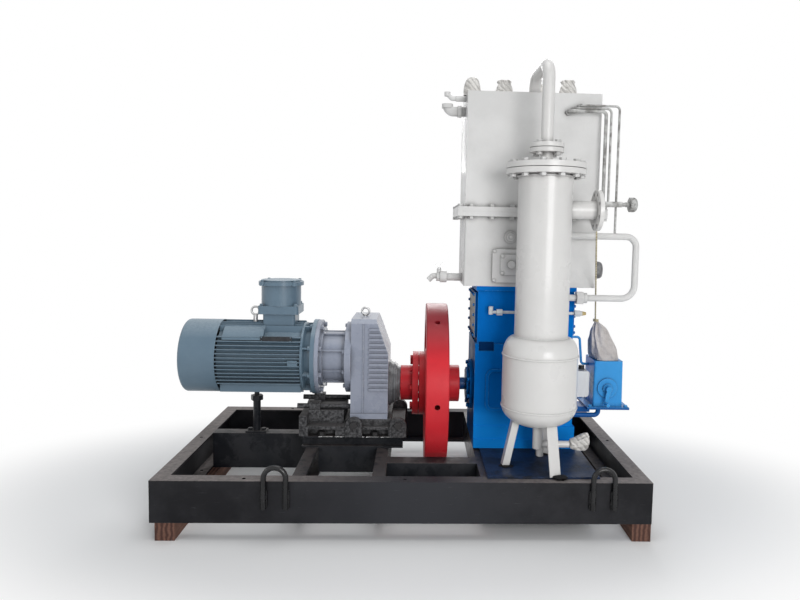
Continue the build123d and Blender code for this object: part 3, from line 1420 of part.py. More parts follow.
# Bag of film over the lubricator's top, gathered to a knot.
knot_x = 1028
knot_y = -60
knot_z = 1000
bag_bottom = lube_top + 0.3
bag_levels = (
    (bag_bottom, 1103, 4, 160, 204, 24),
    (bag_bottom + 40, 1090, -4, 172, 190, 34),
    (bag_bottom + 100, 1076, -16, 150, 156, 40),
    (bag_bottom + 160, 1062, -36, 116, 112, 34),
    (bag_bottom + 205, 1044, -52, 60, 60, 18),
    (knot_z - 14, knot_x, knot_y, 28, 28, 8),
)
with BuildPart() as bag:
    bag_sections = []
    for level, x, y, size_x, size_y, corner in bag_levels:
        with BuildSketch(Plane.XY.offset(level)) as bag_section:
            with Locations((x, y)):
                outline = Rectangle(size_x, size_y)
            chamfer(bag_section.vertices(), corner)
        bag_sections.append(bag_section.sketch.face())
    loft(bag_sections, ruled=True)
bag.part.label = "bag"
export_step(bag.part, "parts/bag.step")

# Tie of the bag: pulled straight from the knot up to the separator's nozzle flange.
tie_radius = 4
tie_top = Vector(nozzle_face - 10, sep_y, nozzle_z - nozzle_flange_radius - 3)
tie_foot = Vector(knot_x, knot_y, knot_z - 10.5)
with BuildPart() as bag_tie:
    with BuildSketch(Plane(origin=tie_foot, z_dir=(tie_top - tie_foot).normalized())) as tie_section:
        Circle(tie_radius)
    extrude(tie_section.sketch, amount=(tie_top - tie_foot).length)
bag_tie.part.label = "bag_tie"
export_step(bag_tie.part, "parts/bag_tie.step")
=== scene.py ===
import math

import bmesh
import bpy
from mathutils import Matrix, Vector, noise


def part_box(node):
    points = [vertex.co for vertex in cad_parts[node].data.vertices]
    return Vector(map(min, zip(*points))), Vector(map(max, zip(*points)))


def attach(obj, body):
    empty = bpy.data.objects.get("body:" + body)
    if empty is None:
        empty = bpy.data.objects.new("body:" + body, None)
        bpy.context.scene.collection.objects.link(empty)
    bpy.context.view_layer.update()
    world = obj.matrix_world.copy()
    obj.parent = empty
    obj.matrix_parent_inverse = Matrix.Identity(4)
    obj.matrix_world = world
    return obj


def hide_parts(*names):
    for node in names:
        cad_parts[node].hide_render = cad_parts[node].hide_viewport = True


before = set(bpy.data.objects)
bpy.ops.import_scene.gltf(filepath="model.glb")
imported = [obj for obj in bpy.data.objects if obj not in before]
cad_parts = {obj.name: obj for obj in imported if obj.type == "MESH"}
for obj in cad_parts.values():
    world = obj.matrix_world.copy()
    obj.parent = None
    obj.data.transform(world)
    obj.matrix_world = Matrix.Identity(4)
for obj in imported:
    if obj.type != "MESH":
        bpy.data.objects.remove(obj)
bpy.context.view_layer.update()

# Camera: at eye level in front of the set, a little left of its middle, as the photographer stood.
# Its turn is built from a yaw, a pitch and a slight roll, and the shift only frames the picture.
camera = bpy.data.objects.new("camera", bpy.data.cameras.new("camera"))
bpy.context.collection.objects.link(camera)
camera.data.sensor_width = 36.0
camera.data.lens = 30.106
camera.data.shift_x = -0.0539
camera.data.shift_y = -0.01955
camera.data.clip_end = 100.0
yaw, pitch, roll = math.radians(2.3405), math.radians(4.5905), math.radians(1.1884)
view_forward = Vector((math.sin(yaw) * math.cos(pitch), math.cos(yaw) * math.cos(pitch), -math.sin(pitch)))
view_right = Vector((math.cos(yaw), -math.sin(yaw), 0.0))
view_up = view_right.cross(view_forward)
frame_right = math.cos(roll) * view_right + math.sin(roll) * view_up
frame_up = -math.sin(roll) * view_right + math.cos(roll) * view_up
camera_turn = Matrix((frame_right, frame_up, -view_forward)).transposed().to_4x4()
camera.matrix_world = Matrix.Translation((0.03571, -3.68703, 1.45655)) @ camera_turn
bpy.context.scene.camera = camera
bpy.context.scene.view_settings.view_transform = "Standard"


# Tie of the bag: a twisted string, pulled taut from a bolt of the side nozzle's flange to the bag's knot.
# It is a curve of round section, in a fibre finish with a twist that runs round it.
def shader_node(tree, kind, settings=None, **inputs):
    """Add a node, set its properties, and fill or link its inputs by name."""
    node = tree.nodes.new(kind)
    for key, value in (settings or {}).items():
        setattr(node, key, value)
    for key, value in inputs.items():
        numbered = key[0] == "i" and key[1:].isdigit()
        target = node.inputs[int(key[1:]) if numbered else key.replace("_", " ")]
        if isinstance(value, bpy.types.NodeSocket):
            tree.links.new(value, target)
        else:
            target.default_value = value
    return node


def plain_finish(name, rough=0.5, specular=0.3):
    """Start a material, and return it with its tree, its shader and the piece's own coordinates."""
    finish = bpy.data.materials.new(name)
    finish.use_nodes = True
    tree = finish.node_tree
    shader = tree.nodes["Principled BSDF"]
    shader.inputs["Roughness"].default_value = rough
    shader.inputs["Specular IOR Level"].default_value = specular
    return finish, tree, shader, shader_node(tree, "ShaderNodeTexCoord").outputs["Object"]


def blend_of(tree, mask, low, high):
    """Blend two colours by a mask."""
    node = shader_node(tree, "ShaderNodeMix", {"data_type": "RGBA"})
    for place, value in ((0, mask), (6, low), (7, high)):
        if isinstance(value, bpy.types.NodeSocket):
            tree.links.new(value, node.inputs[place])
        else:
            node.inputs[place].default_value = value
    return node.outputs[2]


jute, jute_tree, jute_shader, jute_where = plain_finish("jute_string", rough=0.9)
jute_twist = shader_node(jute_tree, "ShaderNodeMapping", None, Vector=jute_where,
                         Rotation=(0.6, 0.0, 0.0)).outputs[0]
jute_strands = shader_node(jute_tree, "ShaderNodeTexWave", {"bands_direction": "Z"}, Vector=jute_twist,
                           Scale=60.0, Distortion=3.0, Detail=2.0).outputs["Fac"]
jute_tree.links.new(blend_of(jute_tree, jute_strands, (0.30, 0.25, 0.15, 1), (0.62, 0.56, 0.40, 1)),
                    jute_shader.inputs["Base Color"])
jute_bump = shader_node(jute_tree, "ShaderNodeBump", None, Height=jute_strands, Distance=0.001).outputs[0]
jute_tree.links.new(jute_bump, jute_shader.inputs["Normal"])
tie_route = ((0.915, -0.434, 1.467), (0.9715, -0.247, 1.22825), (1.028, -0.060, 0.9895))
tie_curve = bpy.data.curves.new("tie_string", "CURVE")
tie_curve.dimensions = "3D"
tie_curve.bevel_depth = 0.004
tie_curve.bevel_resolution = 3
tie_curve.use_fill_caps = True
tie_line = tie_curve.splines.new("NURBS")
tie_line.points.add(len(tie_route) - 1)
for point, place in zip(tie_line.points, tie_route):
    point.co = (*place, 1.0)
tie_line.order_u = 3
tie_line.use_endpoint_u = True
tie_curve.materials.append(jute)
tie = bpy.data.objects.new("tie_string", tie_curve)
bpy.context.collection.objects.link(tie)
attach(tie, "frame")
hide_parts("bag_tie")


# Floor and light: a pale floor that turns to plain white away from the set, and large soft lamps.
# The main lamp stands beside the camera, to its right, because the left sides are the darker ones.
def camera_white(tree, shader, white, where=None):
    """Show plain white to the camera, to mirrors and through glass, and the shader to the rest."""
    path = shader_node(tree, "ShaderNodeLightPath")
    seen = shader_node(tree, "ShaderNodeMath", {"operation": "MAXIMUM"}, i0=path.outputs["Is Camera Ray"],
                       i1=path.outputs["Is Glossy Ray"])
    seen = shader_node(tree, "ShaderNodeMath", {"operation": "MAXIMUM"}, i0=seen.outputs[0],
                       i1=path.outputs["Is Transmission Ray"])
    if where is not None:
        seen = shader_node(tree, "ShaderNodeMath", {"operation": "MULTIPLY"}, i0=seen.outputs[0], i1=where)
    mixed = shader_node(tree, "ShaderNodeMixShader", None, Fac=seen.outputs[0])
    tree.links.new(shader.outputs[0], mixed.inputs[1])
    tree.links.new(white.outputs[0], mixed.inputs[2])
    return mixed.outputs[0]


world = bpy.data.worlds.new("studio")
bpy.context.scene.world = world
world.use_nodes = True
world.node_tree.nodes.clear()
sky = world.node_tree
dim_sky = shader_node(sky, "ShaderNodeBackground", None, Color=(0.94, 0.97, 1.0, 1), Strength=0.38)
white_sky = shader_node(sky, "ShaderNodeBackground", None, Color=(1, 1, 1, 1), Strength=1.0)
sky_out = shader_node(sky, "ShaderNodeOutputWorld")
sky.links.new(camera_white(sky, dim_sky, white_sky), sky_out.inputs[0])

floor_mesh = bpy.data.meshes.new("floor")
floor_build = bmesh.new()
bmesh.ops.create_grid(floor_build, x_segments=1, y_segments=1, size=14.0)
floor_build.to_mesh(floor_mesh)
floor_build.free()
floor = bpy.data.objects.new("floor", floor_mesh)
bpy.context.collection.objects.link(floor)
floor_paint, floor_tree, floor_shader, floor_where = plain_finish("pale_floor", rough=0.8)
floor_shader.inputs["Base Color"].default_value = (0.9, 0.9, 0.9, 1)
shadow_within, white_beyond = 1.02, 1.75
floor_oval = shader_node(floor_tree, "ShaderNodeMapping", None, Vector=floor_where,
                         Scale=(0.62, 1.0, 1.0)).outputs[0]
floor_reach = shader_node(floor_tree, "ShaderNodeVectorMath", {"operation": "LENGTH"},
                          i0=floor_oval).outputs["Value"]
floor_far = shader_node(floor_tree, "ShaderNodeMapRange", {"interpolation_type": "SMOOTHSTEP"}, i0=floor_reach,
                        i1=shadow_within, i2=white_beyond, i3=0.0, i4=1.0).outputs[0]
floor_white = shader_node(floor_tree, "ShaderNodeEmission", None, Color=(1, 1, 1, 1), Strength=1.0)
floor_tree.links.new(camera_white(floor_tree, floor_shader, floor_white, floor_far),
                     floor_tree.nodes["Material Output"].inputs["Surface"])
floor_mesh.materials.append(floor_paint)

for lamp_name, lamp_place, lamp_aim, lamp_size, lamp_power in (
        ("front_lamp", (1.9, -5.6, 1.9), (0.2, 0.0, 0.9), 2.4, 155),
        ("left_lamp", (-4.6, -3.4, 2.2), (-0.2, 0.0, 0.6), 2.4, 26),
        ("top_lamp", (0.1, -0.6, 5.6), (0.0, 0.0, 0.6), 3.0, 70),
        ("back_lamp", (1.0, 4.6, 3.4), (0.0, 0.0, 1.0), 2.6, 90)):
    lamp = bpy.data.objects.new(lamp_name, bpy.data.lights.new(lamp_name, "AREA"))
    lamp.data.shape = "SQUARE"
    lamp.data.size = lamp_size
    lamp.data.energy = lamp_power
    lamp.location = lamp_place
    lamp.rotation_euler = (Vector(lamp_aim) - Vector(lamp_place)).to_track_quat("-Z", "Y").to_euler()
    bpy.context.collection.objects.link(lamp)


# Skid: rolled channels and beams, welded up, in black satin paint scuffed to brown-grey on the flanges.
# The lifting lugs are bent round bar, welded to the rails' webs at both legs of each lug.
# The jack is a screwed post under the motor, and the sole plate under the compressor is painted navy.
FLOAT, COLOUR, VECTOR = "NodeSocketFloat", "NodeSocketColor", "NodeSocketVector"


def span(tree, value, low, high, to_low=0.0, to_high=1.0):
    """Map a value from one range to another, clamped."""
    return shader_node(tree, "ShaderNodeMapRange", None, i0=value, i1=low, i2=high, i3=to_low,
                       i4=to_high).outputs[0]


def sum_of(tree, a, b, operation="ADD"):
    """Join two values with one operation."""
    return shader_node(tree, "ShaderNodeMath", {"operation": operation}, i0=a, i1=b).outputs[0]


def cloud(tree, coords, scale, detail=4.0, rough=0.6):
    """Noise on the piece's own coordinates."""
    return shader_node(tree, "ShaderNodeTexNoise", None, Vector=coords, Scale=scale, Detail=detail,
                       Roughness=rough).outputs[0]


paint_coat = bpy.data.node_groups.new("paint_coat", "ShaderNodeTree")
for socket, kind, value in (
        ("Paint", COLOUR, (0.5, 0.5, 0.5, 1)), ("Patch", COLOUR, (0.4, 0.4, 0.4, 1)),
        ("Bare And Edge Light", COLOUR, (0.2, 0.2, 0.2, 1)), ("Dust", COLOUR, (0.3, 0.28, 0.25, 1)),
        ("Grime", COLOUR, (0.02, 0.02, 0.02, 1)), ("Grime Amount", FLOAT, 0.6), ("Grime Reach", FLOAT, 0.03),
        ("Patch Scale", FLOAT, 6.0), ("Patch Amount", FLOAT, 0.5), ("Edge Radius", FLOAT, 0.002),
        ("Edge Amount", FLOAT, 0.3), ("Dust Amount", FLOAT, 0.2), ("Rough", FLOAT, 0.35),
        ("Rough Spread", FLOAT, 0.2), ("Grain Scale", FLOAT, 120.0), ("Grain Height", FLOAT, 0.0004)):
    paint_coat.interface.new_socket(name=socket, in_out="INPUT", socket_type=kind).default_value = value
for socket, kind in (("Color", COLOUR), ("Roughness", FLOAT), ("Normal", VECTOR)):
    paint_coat.interface.new_socket(name=socket, in_out="OUTPUT", socket_type=kind)
coat_in = shader_node(paint_coat, "NodeGroupInput")
coat_out = shader_node(paint_coat, "NodeGroupOutput")
where = shader_node(paint_coat, "ShaderNodeTexCoord").outputs["Object"]
surface = shader_node(paint_coat, "ShaderNodeNewGeometry")
large = cloud(paint_coat, where, coat_in.outputs["Patch Scale"], 5.0, 0.65)
fine_scale = sum_of(paint_coat, coat_in.outputs["Patch Scale"], 11.0, "MULTIPLY")
fine = cloud(paint_coat, where, fine_scale, 3.0, 0.7)
patch_mask = span(paint_coat, large, 0.4, 0.62)
patch_mask = sum_of(paint_coat, patch_mask, coat_in.outputs["Patch Amount"], "MULTIPLY")
coat_colour = blend_of(paint_coat, patch_mask, coat_in.outputs["Paint"], coat_in.outputs["Patch"])
rounded = shader_node(paint_coat, "ShaderNodeBevel", {"samples": 4},
                      Radius=coat_in.outputs["Edge Radius"]).outputs[0]
facing = shader_node(paint_coat, "ShaderNodeVectorMath", {"operation": "DOT_PRODUCT"}, i0=rounded,
                     i1=surface.outputs["Normal"]).outputs["Value"]
# Rounded edges take one more colour where fine noise lets it through: worn paint on most finishes, and a painted
# edge highlight on the motor and the crankcase, where it is a lighter copy of the paint.
worn = span(paint_coat, fine, 0.38, 0.62)
edge = sum_of(paint_coat, span(paint_coat, facing, 0.995, 0.86), worn, "MULTIPLY")
edge = sum_of(paint_coat, edge, coat_in.outputs["Edge Amount"], "MULTIPLY")
coat_colour = blend_of(paint_coat, edge, coat_colour, coat_in.outputs["Bare And Edge Light"])
# Upward faces take one more colour: real dust on most finishes, and a painted highlight of light from above on
# the motor and the crankcase, where it is a lighter copy of the paint.
upward = shader_node(paint_coat, "ShaderNodeSeparateXYZ", None, i0=surface.outputs["Normal"]).outputs[2]
dust_and_top_light_patches = span(paint_coat, fine, 0.25, 0.7, 0.4, 1.0)
dust_and_top_light_mask = sum_of(paint_coat, span(paint_coat, upward, 0.6, 0.98), dust_and_top_light_patches, "MULTIPLY")
dust_and_top_light_mask = sum_of(paint_coat, dust_and_top_light_mask, coat_in.outputs["Dust Amount"], "MULTIPLY")
coat_colour = blend_of(paint_coat, dust_and_top_light_mask, coat_colour, coat_in.outputs["Dust"])
# Painted shade: the coat darkens towards a dark copy of its paint where ambient occlusion finds other surfaces
# close by, in corners, recesses and round bolts.
shelter = shader_node(paint_coat, "ShaderNodeAmbientOcclusion", {"samples": 6},
                      Distance=coat_in.outputs["Grime Reach"]).outputs["AO"]
grime = sum_of(paint_coat, span(paint_coat, shelter, 0.93, 0.35), coat_in.outputs["Grime Amount"], "MULTIPLY")
coat_colour = blend_of(paint_coat, grime, coat_colour, coat_in.outputs["Grime"])
coat_rough = span(paint_coat, large, 0.3, 0.7, -0.5, 0.5)
coat_rough = sum_of(paint_coat, coat_rough, coat_in.outputs["Rough Spread"], "MULTIPLY")
coat_rough = sum_of(paint_coat, coat_rough, coat_in.outputs["Rough"])
coat_rough = sum_of(paint_coat, coat_rough, sum_of(paint_coat, dust_and_top_light_mask, 0.35, "MULTIPLY"))
grain = cloud(paint_coat, where, coat_in.outputs["Grain Scale"], 3.0, 0.55)
grained = shader_node(paint_coat, "ShaderNodeBump", None, Height=grain, Distance=coat_in.outputs["Grain Height"],
                      Normal=rounded).outputs[0]
paint_coat.links.new(coat_colour, coat_out.inputs["Color"])
paint_coat.links.new(coat_rough, coat_out.inputs["Roughness"])
paint_coat.links.new(grained, coat_out.inputs["Normal"])


def painted(name, paint, patch, bare_and_edge_light, dust=(0.3, 0.28, 0.25), coat=0.0, metal=0.0, specular=0.3, **values):
    """Make a painted or cast finish from the shared coat."""
    finish, tree, shader, _ = plain_finish(name, specular=specular)
    layer = shader_node(tree, "ShaderNodeGroup", {"node_tree": paint_coat})
    # The painted shade colour is a dark copy of the paint.
    grime = tuple(part * 0.12 for part in paint)
    for socket, value in (("Paint", paint), ("Patch", patch), ("Bare And Edge Light", bare_and_edge_light), ("Dust", dust), ("Grime", grime)):
        layer.inputs[socket].default_value = (*value, 1)
    for socket, value in values.items():
        layer.inputs[socket.replace("_", " ").title()].default_value = value
    tree.links.new(layer.outputs["Color"], shader.inputs["Base Color"])
    tree.links.new(layer.outputs["Roughness"], shader.inputs["Roughness"])
    tree.links.new(layer.outputs["Normal"], shader.inputs["Normal"])
    shader.inputs["Metallic"].default_value = metal
    shader.inputs["Coat Weight"].default_value = coat
    shader.inputs["Coat Roughness"].default_value = 0.12
    return finish


def within(tree, low, high, soft=0.002):
    """Mask the part of a piece between two corners of a box, with a soft border."""
    place = shader_node(tree, "ShaderNodeTexCoord").outputs["Object"]
    axes = shader_node(tree, "ShaderNodeSeparateXYZ", None, i0=place)
    mask = 1.0
    for axis, least, most in zip(axes.outputs, low, high):
        if least is not None:
            mask = sum_of(tree, mask, span(tree, axis, least - soft, least + soft), "MULTIPLY")
        if most is not None:
            mask = sum_of(tree, mask, span(tree, axis, most + soft, most - soft), "MULTIPLY")
    return mask


def laid_over(finish, mask, colour):
    """Lay one more colour on a finish where a mask says so."""
    tree = finish.node_tree
    base = tree.nodes["Principled BSDF"].inputs["Base Color"]
    tree.links.new(blend_of(tree, mask, base.links[0].from_socket, (*colour, 1)), base)


def dress(finish, *names):
    """Give CAD nodes a finish."""
    for name in names:
        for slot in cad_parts[name].material_slots:
            slot.material = finish


skid_paint = painted("skid_black", (0.006, 0.006, 0.008), (0.018, 0.018, 0.021), (0.14, 0.12, 0.115),
                     dust=(0.29, 0.26, 0.25), specular=0.2, patch_scale=3.2, patch_amount=0.9,
                     edge_radius=0.003, edge_amount=0.8, dust_amount=0.9, rough=0.42, rough_spread=0.25,
                     grain_scale=60.0, grain_height=0.0003)
skid_tree = skid_paint.node_tree
skid_long = shader_node(skid_tree, "ShaderNodeMapping", None, Scale=(3.0, 3.0, 90.0),
                        Vector=shader_node(skid_tree, "ShaderNodeTexCoord").outputs["Object"]).outputs[0]
skid_scratch = span(skid_tree, cloud(skid_tree, skid_long, 4.0, 4.0, 0.7), 0.66, 0.76, 0.0, 0.7)
# Painted sheen: the middle stretch of the rails is a lighter black, as a painted reflection.
laid_over(skid_paint, within(skid_tree, (-0.35, None, None), (0.45, None, None), 0.3), (0.026, 0.027, 0.032))
laid_over(skid_paint, skid_scratch, (0.13, 0.13, 0.14))
dress(skid_paint, "skid_front_rail", "skid_rear_rail", "skid_left_rail", "skid_right_rail")
beam_paint = painted("beam_black", (0.016, 0.018, 0.022), (0.036, 0.036, 0.04), (0.1, 0.09, 0.085),
                     dust=(0.085, 0.07, 0.065), specular=0.25, patch_scale=4.0, patch_amount=0.7,
                     edge_radius=0.003, edge_amount=0.6, dust_amount=0.6, rough=0.35, rough_spread=0.25,
                     grain_scale=70.0, grain_height=0.0003)
beam_tree = beam_paint.node_tree
laid_over(beam_paint, within(beam_tree, (0.3905, -0.602, 0.2846), (0.9358, 0.267, 0.2962), 0.0004),
          (0.012, 0.024, 0.058))
beam_dirt = cloud(beam_tree, shader_node(beam_tree, "ShaderNodeTexCoord").outputs["Object"], 7.0, 6.0, 0.7)
laid_over(beam_paint, sum_of(beam_tree, span(beam_tree, beam_dirt, 0.5, 0.56), 0.75, "MULTIPLY"),
          (0.008, 0.009, 0.012))
dress(beam_paint, "skid_beams", "motor_jack")
lug_paint = painted("lug_black", (0.006, 0.006, 0.007), (0.014, 0.014, 0.015), (0.09, 0.09, 0.09),
                    dust=(0.03, 0.03, 0.03), coat=0.15, patch_scale=14.0, patch_amount=0.6, edge_radius=0.002,
                    edge_amount=0.3, dust_amount=0.2, rough=0.25, rough_spread=0.2, grain_scale=90.0,
                    grain_height=0.0004)
dress(lug_paint, "lifting_lugs")


def finished(name, build, finish, body, smooth=False):
    """Turn a bmesh into a piece with a finish that rides on a body."""
    mesh = bpy.data.meshes.new(name)
    build.to_mesh(mesh)
    build.free()
    for face in mesh.polygons:
        face.use_smooth = smooth
    mesh.materials.append(finish)
    piece = bpy.data.objects.new(name, mesh)
    bpy.context.collection.objects.link(piece)
    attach(piece, body)
    return piece


lug_welds = bmesh.new()
for weld_x in (-0.650, -0.548, 0.886, 0.988):
    weld_place = Matrix.Translation((weld_x, -0.6555, 0.203)) @ Matrix.Diagonal((0.033, 0.013, 0.088, 1.0))
    made = bmesh.ops.create_cube(lug_welds, size=1.0, matrix=weld_place)
    bmesh.ops.bevel(lug_welds, geom=list({e for v in made["verts"] for e in v.link_edges}), offset=0.005,
                    offset_type="OFFSET", segments=3, profile=0.5, affect="EDGES", material=-1)
long_edges = [e for e in lug_welds.edges if e.calc_length() > 0.04]
bmesh.ops.subdivide_edges(lug_welds, edges=long_edges, cuts=12, use_grid_fill=True)
for vert in lug_welds.verts:
    vert.co += 0.0025 * noise.noise_vector(vert.co * 60.0)
bmesh.ops.recalc_face_normals(lug_welds, faces=lug_welds.faces[:])
finished("lug_welds", lug_welds, lug_paint, "frame", smooth=True)


# Timber bearers: two sawn lengths of reddish-brown wood under the ends of the skid.
# They run across its whole depth, unpainted, with the grain along them.
wood, wood_tree, wood_shader, wood_where = plain_finish("bearer_wood", rough=0.85)
along_grain = shader_node(wood_tree, "ShaderNodeMapping", None, Vector=wood_where,
                          Scale=(22.0, 1.2, 22.0)).outputs[0]
rings = shader_node(wood_tree, "ShaderNodeTexWave", {"wave_type": "RINGS", "rings_direction": "Y"},
                    Vector=along_grain, Scale=0.6, Distortion=6.0, Detail=3.0).outputs["Fac"]
fibres = cloud(wood_tree, along_grain, 5.0, 5.0, 0.7)
wood_mask = sum_of(wood_tree, rings, fibres, "MULTIPLY")
wood_colour = blend_of(wood_tree, span(wood_tree, wood_mask, 0.05, 0.6), (0.06, 0.028, 0.022, 1),
                       (0.17, 0.085, 0.06, 1))
wood_tree.links.new(wood_colour, wood_shader.inputs["Base Color"])
wood_bump = shader_node(wood_tree, "ShaderNodeBump", None, Height=fibres, Distance=0.0015).outputs[0]
wood_tree.links.new(wood_bump, wood_shader.inputs["Normal"])
dress(wood, "timber_bearers")


# Gearbox base: a rough black iron casting with clamp lugs and slotted pockets for its bolts.
# Its bolts are as dark as the casting, while those of the compressor and the vessel are painted pale.
base_finish = painted("cast_black", (0.016, 0.016, 0.018), (0.12, 0.12, 0.125), (0.16, 0.15, 0.15),
                      dust=(0.10, 0.09, 0.085), patch_scale=70.0, patch_amount=0.9, edge_radius=0.003,
                      edge_amount=0.6, dust_amount=0.5, rough=0.5, rough_spread=0.3, grain_scale=110.0,
                      grain_height=0.002)
dress(base_finish, "gearbox_base")
bolt_paint = painted("bolt_pale", (0.60, 0.60, 0.59), (0.45, 0.44, 0.43), (0.3, 0.29, 0.28),
                     dust=(0.5, 0.48, 0.46), specular=0.35, patch_scale=40.0, patch_amount=0.8,
                     edge_radius=0.001, edge_amount=0.5, dust_amount=0.2, rough=0.35, rough_spread=0.2,
                     grain_scale=200.0, grain_height=0.0003)
laid_over(bolt_paint, within(bolt_paint.node_tree, (None, None, None), (0.0, None, None)),
          (0.035, 0.034, 0.035))
dress(bolt_paint, "hex_bolts")


# Gearbox: a tall grey casting with stepped ribs, a round cover and a lantern on the motor's side.
# Hexagon screws hold the cover and the lantern; their heads are painted over with the casting.
gear_paint = painted("gearbox_grey", (0.27, 0.30, 0.375), (0.32, 0.345, 0.42), (0.6, 0.62, 0.66),
                     dust=(0.36, 0.37, 0.41), coat=0.25, patch_scale=9.0, patch_amount=0.5, edge_radius=0.003,
                     edge_amount=0.6, dust_amount=0.4, rough=0.3, rough_spread=0.25, grain_scale=60.0,
                     grain_height=0.0016)
dress(gear_paint, "gearbox_housing", "input_cover", "motor_adapter")
neck_paint = painted("neck_grey", (0.19, 0.20, 0.215), (0.07, 0.07, 0.07), (0.3, 0.3, 0.32),
                     dust=(0.1, 0.1, 0.1), coat=0.3, patch_scale=14.0, patch_amount=0.8, edge_radius=0.002,
                     edge_amount=0.4, dust_amount=0.1, rough=0.28, rough_spread=0.3, grain_scale=70.0,
                     grain_height=0.0012)
dress(neck_paint, "output_neck")


def screws(name, places, towards, across, height, finish, body, domed=False):
    """Stand hexagon heads on their washers at some places, all pointing one way."""
    build = bmesh.new()
    turn = Vector(towards).to_track_quat("Z", "Y").to_matrix().to_4x4()
    sides, corner, washer_height = 16 if domed else 6, across * 0.577, 0.002
    for place in places:
        stand = Matrix.Translation(place) @ turn
        washer = stand @ Matrix.Translation((0, 0, washer_height / 2))
        bmesh.ops.create_cone(build, cap_ends=True, segments=20, radius1=across * 0.72, radius2=across * 0.70,
                              depth=washer_height, matrix=washer)
        head = stand @ Matrix.Translation((0, 0, height / 2 + washer_height))
        made = bmesh.ops.create_cone(build, cap_ends=True, segments=sides, radius1=corner,
                                     radius2=across * 0.45 if domed else corner, depth=height, matrix=head)
        top = sorted({e for v in made["verts"] for e in v.link_edges},
                     key=lambda e: -sum((stand.inverted() @ v.co).z for v in e.verts))[:sides]
        bmesh.ops.bevel(build, geom=top, offset=height * (0.35 if domed else 0.14), offset_type="OFFSET",
                        segments=3 if domed else 1, profile=0.5, affect="EDGES", material=-1)
    return finished(name, build, finish, body)


def round_x(x, y, z, radius, count, start=0.0):
    """Places on a circle that faces along X."""
    turns = [math.radians(start + 360.0 * step / count) for step in range(count)]
    return [(x, y + radius * math.cos(turn), z + radius * math.sin(turn)) for turn in turns]


lantern_low, lantern_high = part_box("motor_adapter")
motor_axis_z = (lantern_low[2] + lantern_high[2]) / 2
drive_y = 0.04
cover_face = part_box("input_cover")[0][0]
screws("lantern_screws", round_x(-0.478, drive_y, motor_axis_z, 0.185, 8, 22.5), (1, 0, 0), 0.024, 0.013,
       gear_paint, "frame")
screws("cover_screws", round_x(cover_face, drive_y, motor_axis_z, 0.176, 10, 18.0), (-1, 0, 0), 0.019, 0.011,
       gear_paint, "frame")


# Motor: a finned frame with its shield, fan cowl and terminal box, in blue-grey paint.
# The plate on the cast pad is bare dark metal with four rivets; screws hold the shield, the box and its lid.
# The lighter blue-grey on the motor's edges and upward faces, such as the fin tops, is a painted highlight.
motor_paint = painted("motor_grey", (0.115, 0.178, 0.236), (0.14, 0.208, 0.265), (0.36, 0.44, 0.50),
                      dust=(0.36, 0.44, 0.50), coat=0.2, patch_scale=7.0, patch_amount=0.5,
                      edge_radius=0.0025, edge_amount=0.6, dust_amount=0.7, rough=0.38, rough_spread=0.2,
                      grain_scale=90.0, grain_height=0.0006, grime_amount=0.3)
dress(motor_paint, "motor_frame", "motor_flange", "fan_cowl", "terminal_box", "terminal_lid")
screws("shield_screws", round_x(-0.522, drive_y, motor_axis_z, 0.190, 8, 22.5), (-1, 0, 0), 0.024, 0.013,
       motor_paint, "frame")
box_x, lid_reach = -0.708, 0.122
box_feet = [(box_x + x, drive_y + y, 1.030) for x in (-0.091, 0.091) for y in (-0.083, 0.083)]
screws("box_screws", box_feet, (0, 0, 1), 0.016, 0.010, motor_paint, "frame")
lid_ears = [(box_x + lid_reach * math.cos(turn), drive_y + lid_reach * math.sin(turn), 1.160)
            for turn in (math.radians(45 + 90 * step) for step in range(4))]
screws("lid_screws", lid_ears, (0, 0, 1), 0.015, 0.009, motor_paint, "frame")
plate_metal = painted("plate_dark", (0.03, 0.032, 0.036), (0.06, 0.06, 0.065), (0.3, 0.3, 0.3), metal=0.6,
                      patch_scale=30.0, patch_amount=0.6, edge_radius=0.001, edge_amount=0.6, dust_amount=0.0,
                      rough=0.35, rough_spread=0.2, grain_scale=300.0, grain_height=0.0001)
plate_x, plate_z = -0.704, 0.8605
plate_build = bmesh.new()
bmesh.ops.create_cube(plate_build, size=1.0, matrix=Matrix.Translation((plate_x, -0.1268, plate_z))
                      @ Matrix.Diagonal((0.166, 0.0024, 0.030, 1.0)))
plate_corners = [e for e in plate_build.edges if abs(e.verts[0].co.y - e.verts[1].co.y) > 0.001]
bmesh.ops.bevel(plate_build, geom=plate_corners, offset=0.003, offset_type="OFFSET", segments=3, profile=0.5,
                affect="EDGES", material=-1)
finished("bare_plate", plate_build, plate_metal, "frame")
rivets = [(plate_x + x, -0.128, plate_z + z) for x in (-0.076, 0.076) for z in (-0.010, 0.010)]
screws("plate_rivets", rivets, (0, -1, 0), 0.005, 0.002, motor_paint, "frame", domed=True)


# Coupling and flywheel: turned steel in glossy red paint, joined by the pins of the coupling.
# The top of the rim is painted a darker red, as painted shade.
wheel_paint = painted("coupling_red", (0.60, 0.026, 0.036), (0.50, 0.02, 0.03), (0.55, 0.2, 0.2),
                      specular=0.18, patch_scale=5.0, patch_amount=0.5, edge_radius=0.003, edge_amount=0.4,
                      dust_amount=0.0, rough=0.36, rough_spread=0.2, grain_scale=80.0, grain_height=0.0004)
wheel_tree = wheel_paint.node_tree
wheel_where = shader_node(wheel_tree, "ShaderNodeTexCoord").outputs["Object"]
wheel_height = shader_node(wheel_tree, "ShaderNodeSeparateXYZ", None, i0=wheel_where).outputs[2]
# Painted shade: the upper part of the wheel is a darker red.
laid_over(wheel_paint, span(wheel_tree, wheel_height, 0.80, 0.98), (0.25, 0.014, 0.022))
dress(wheel_paint, "flywheel", "coupling_hub", "coupling_pins")
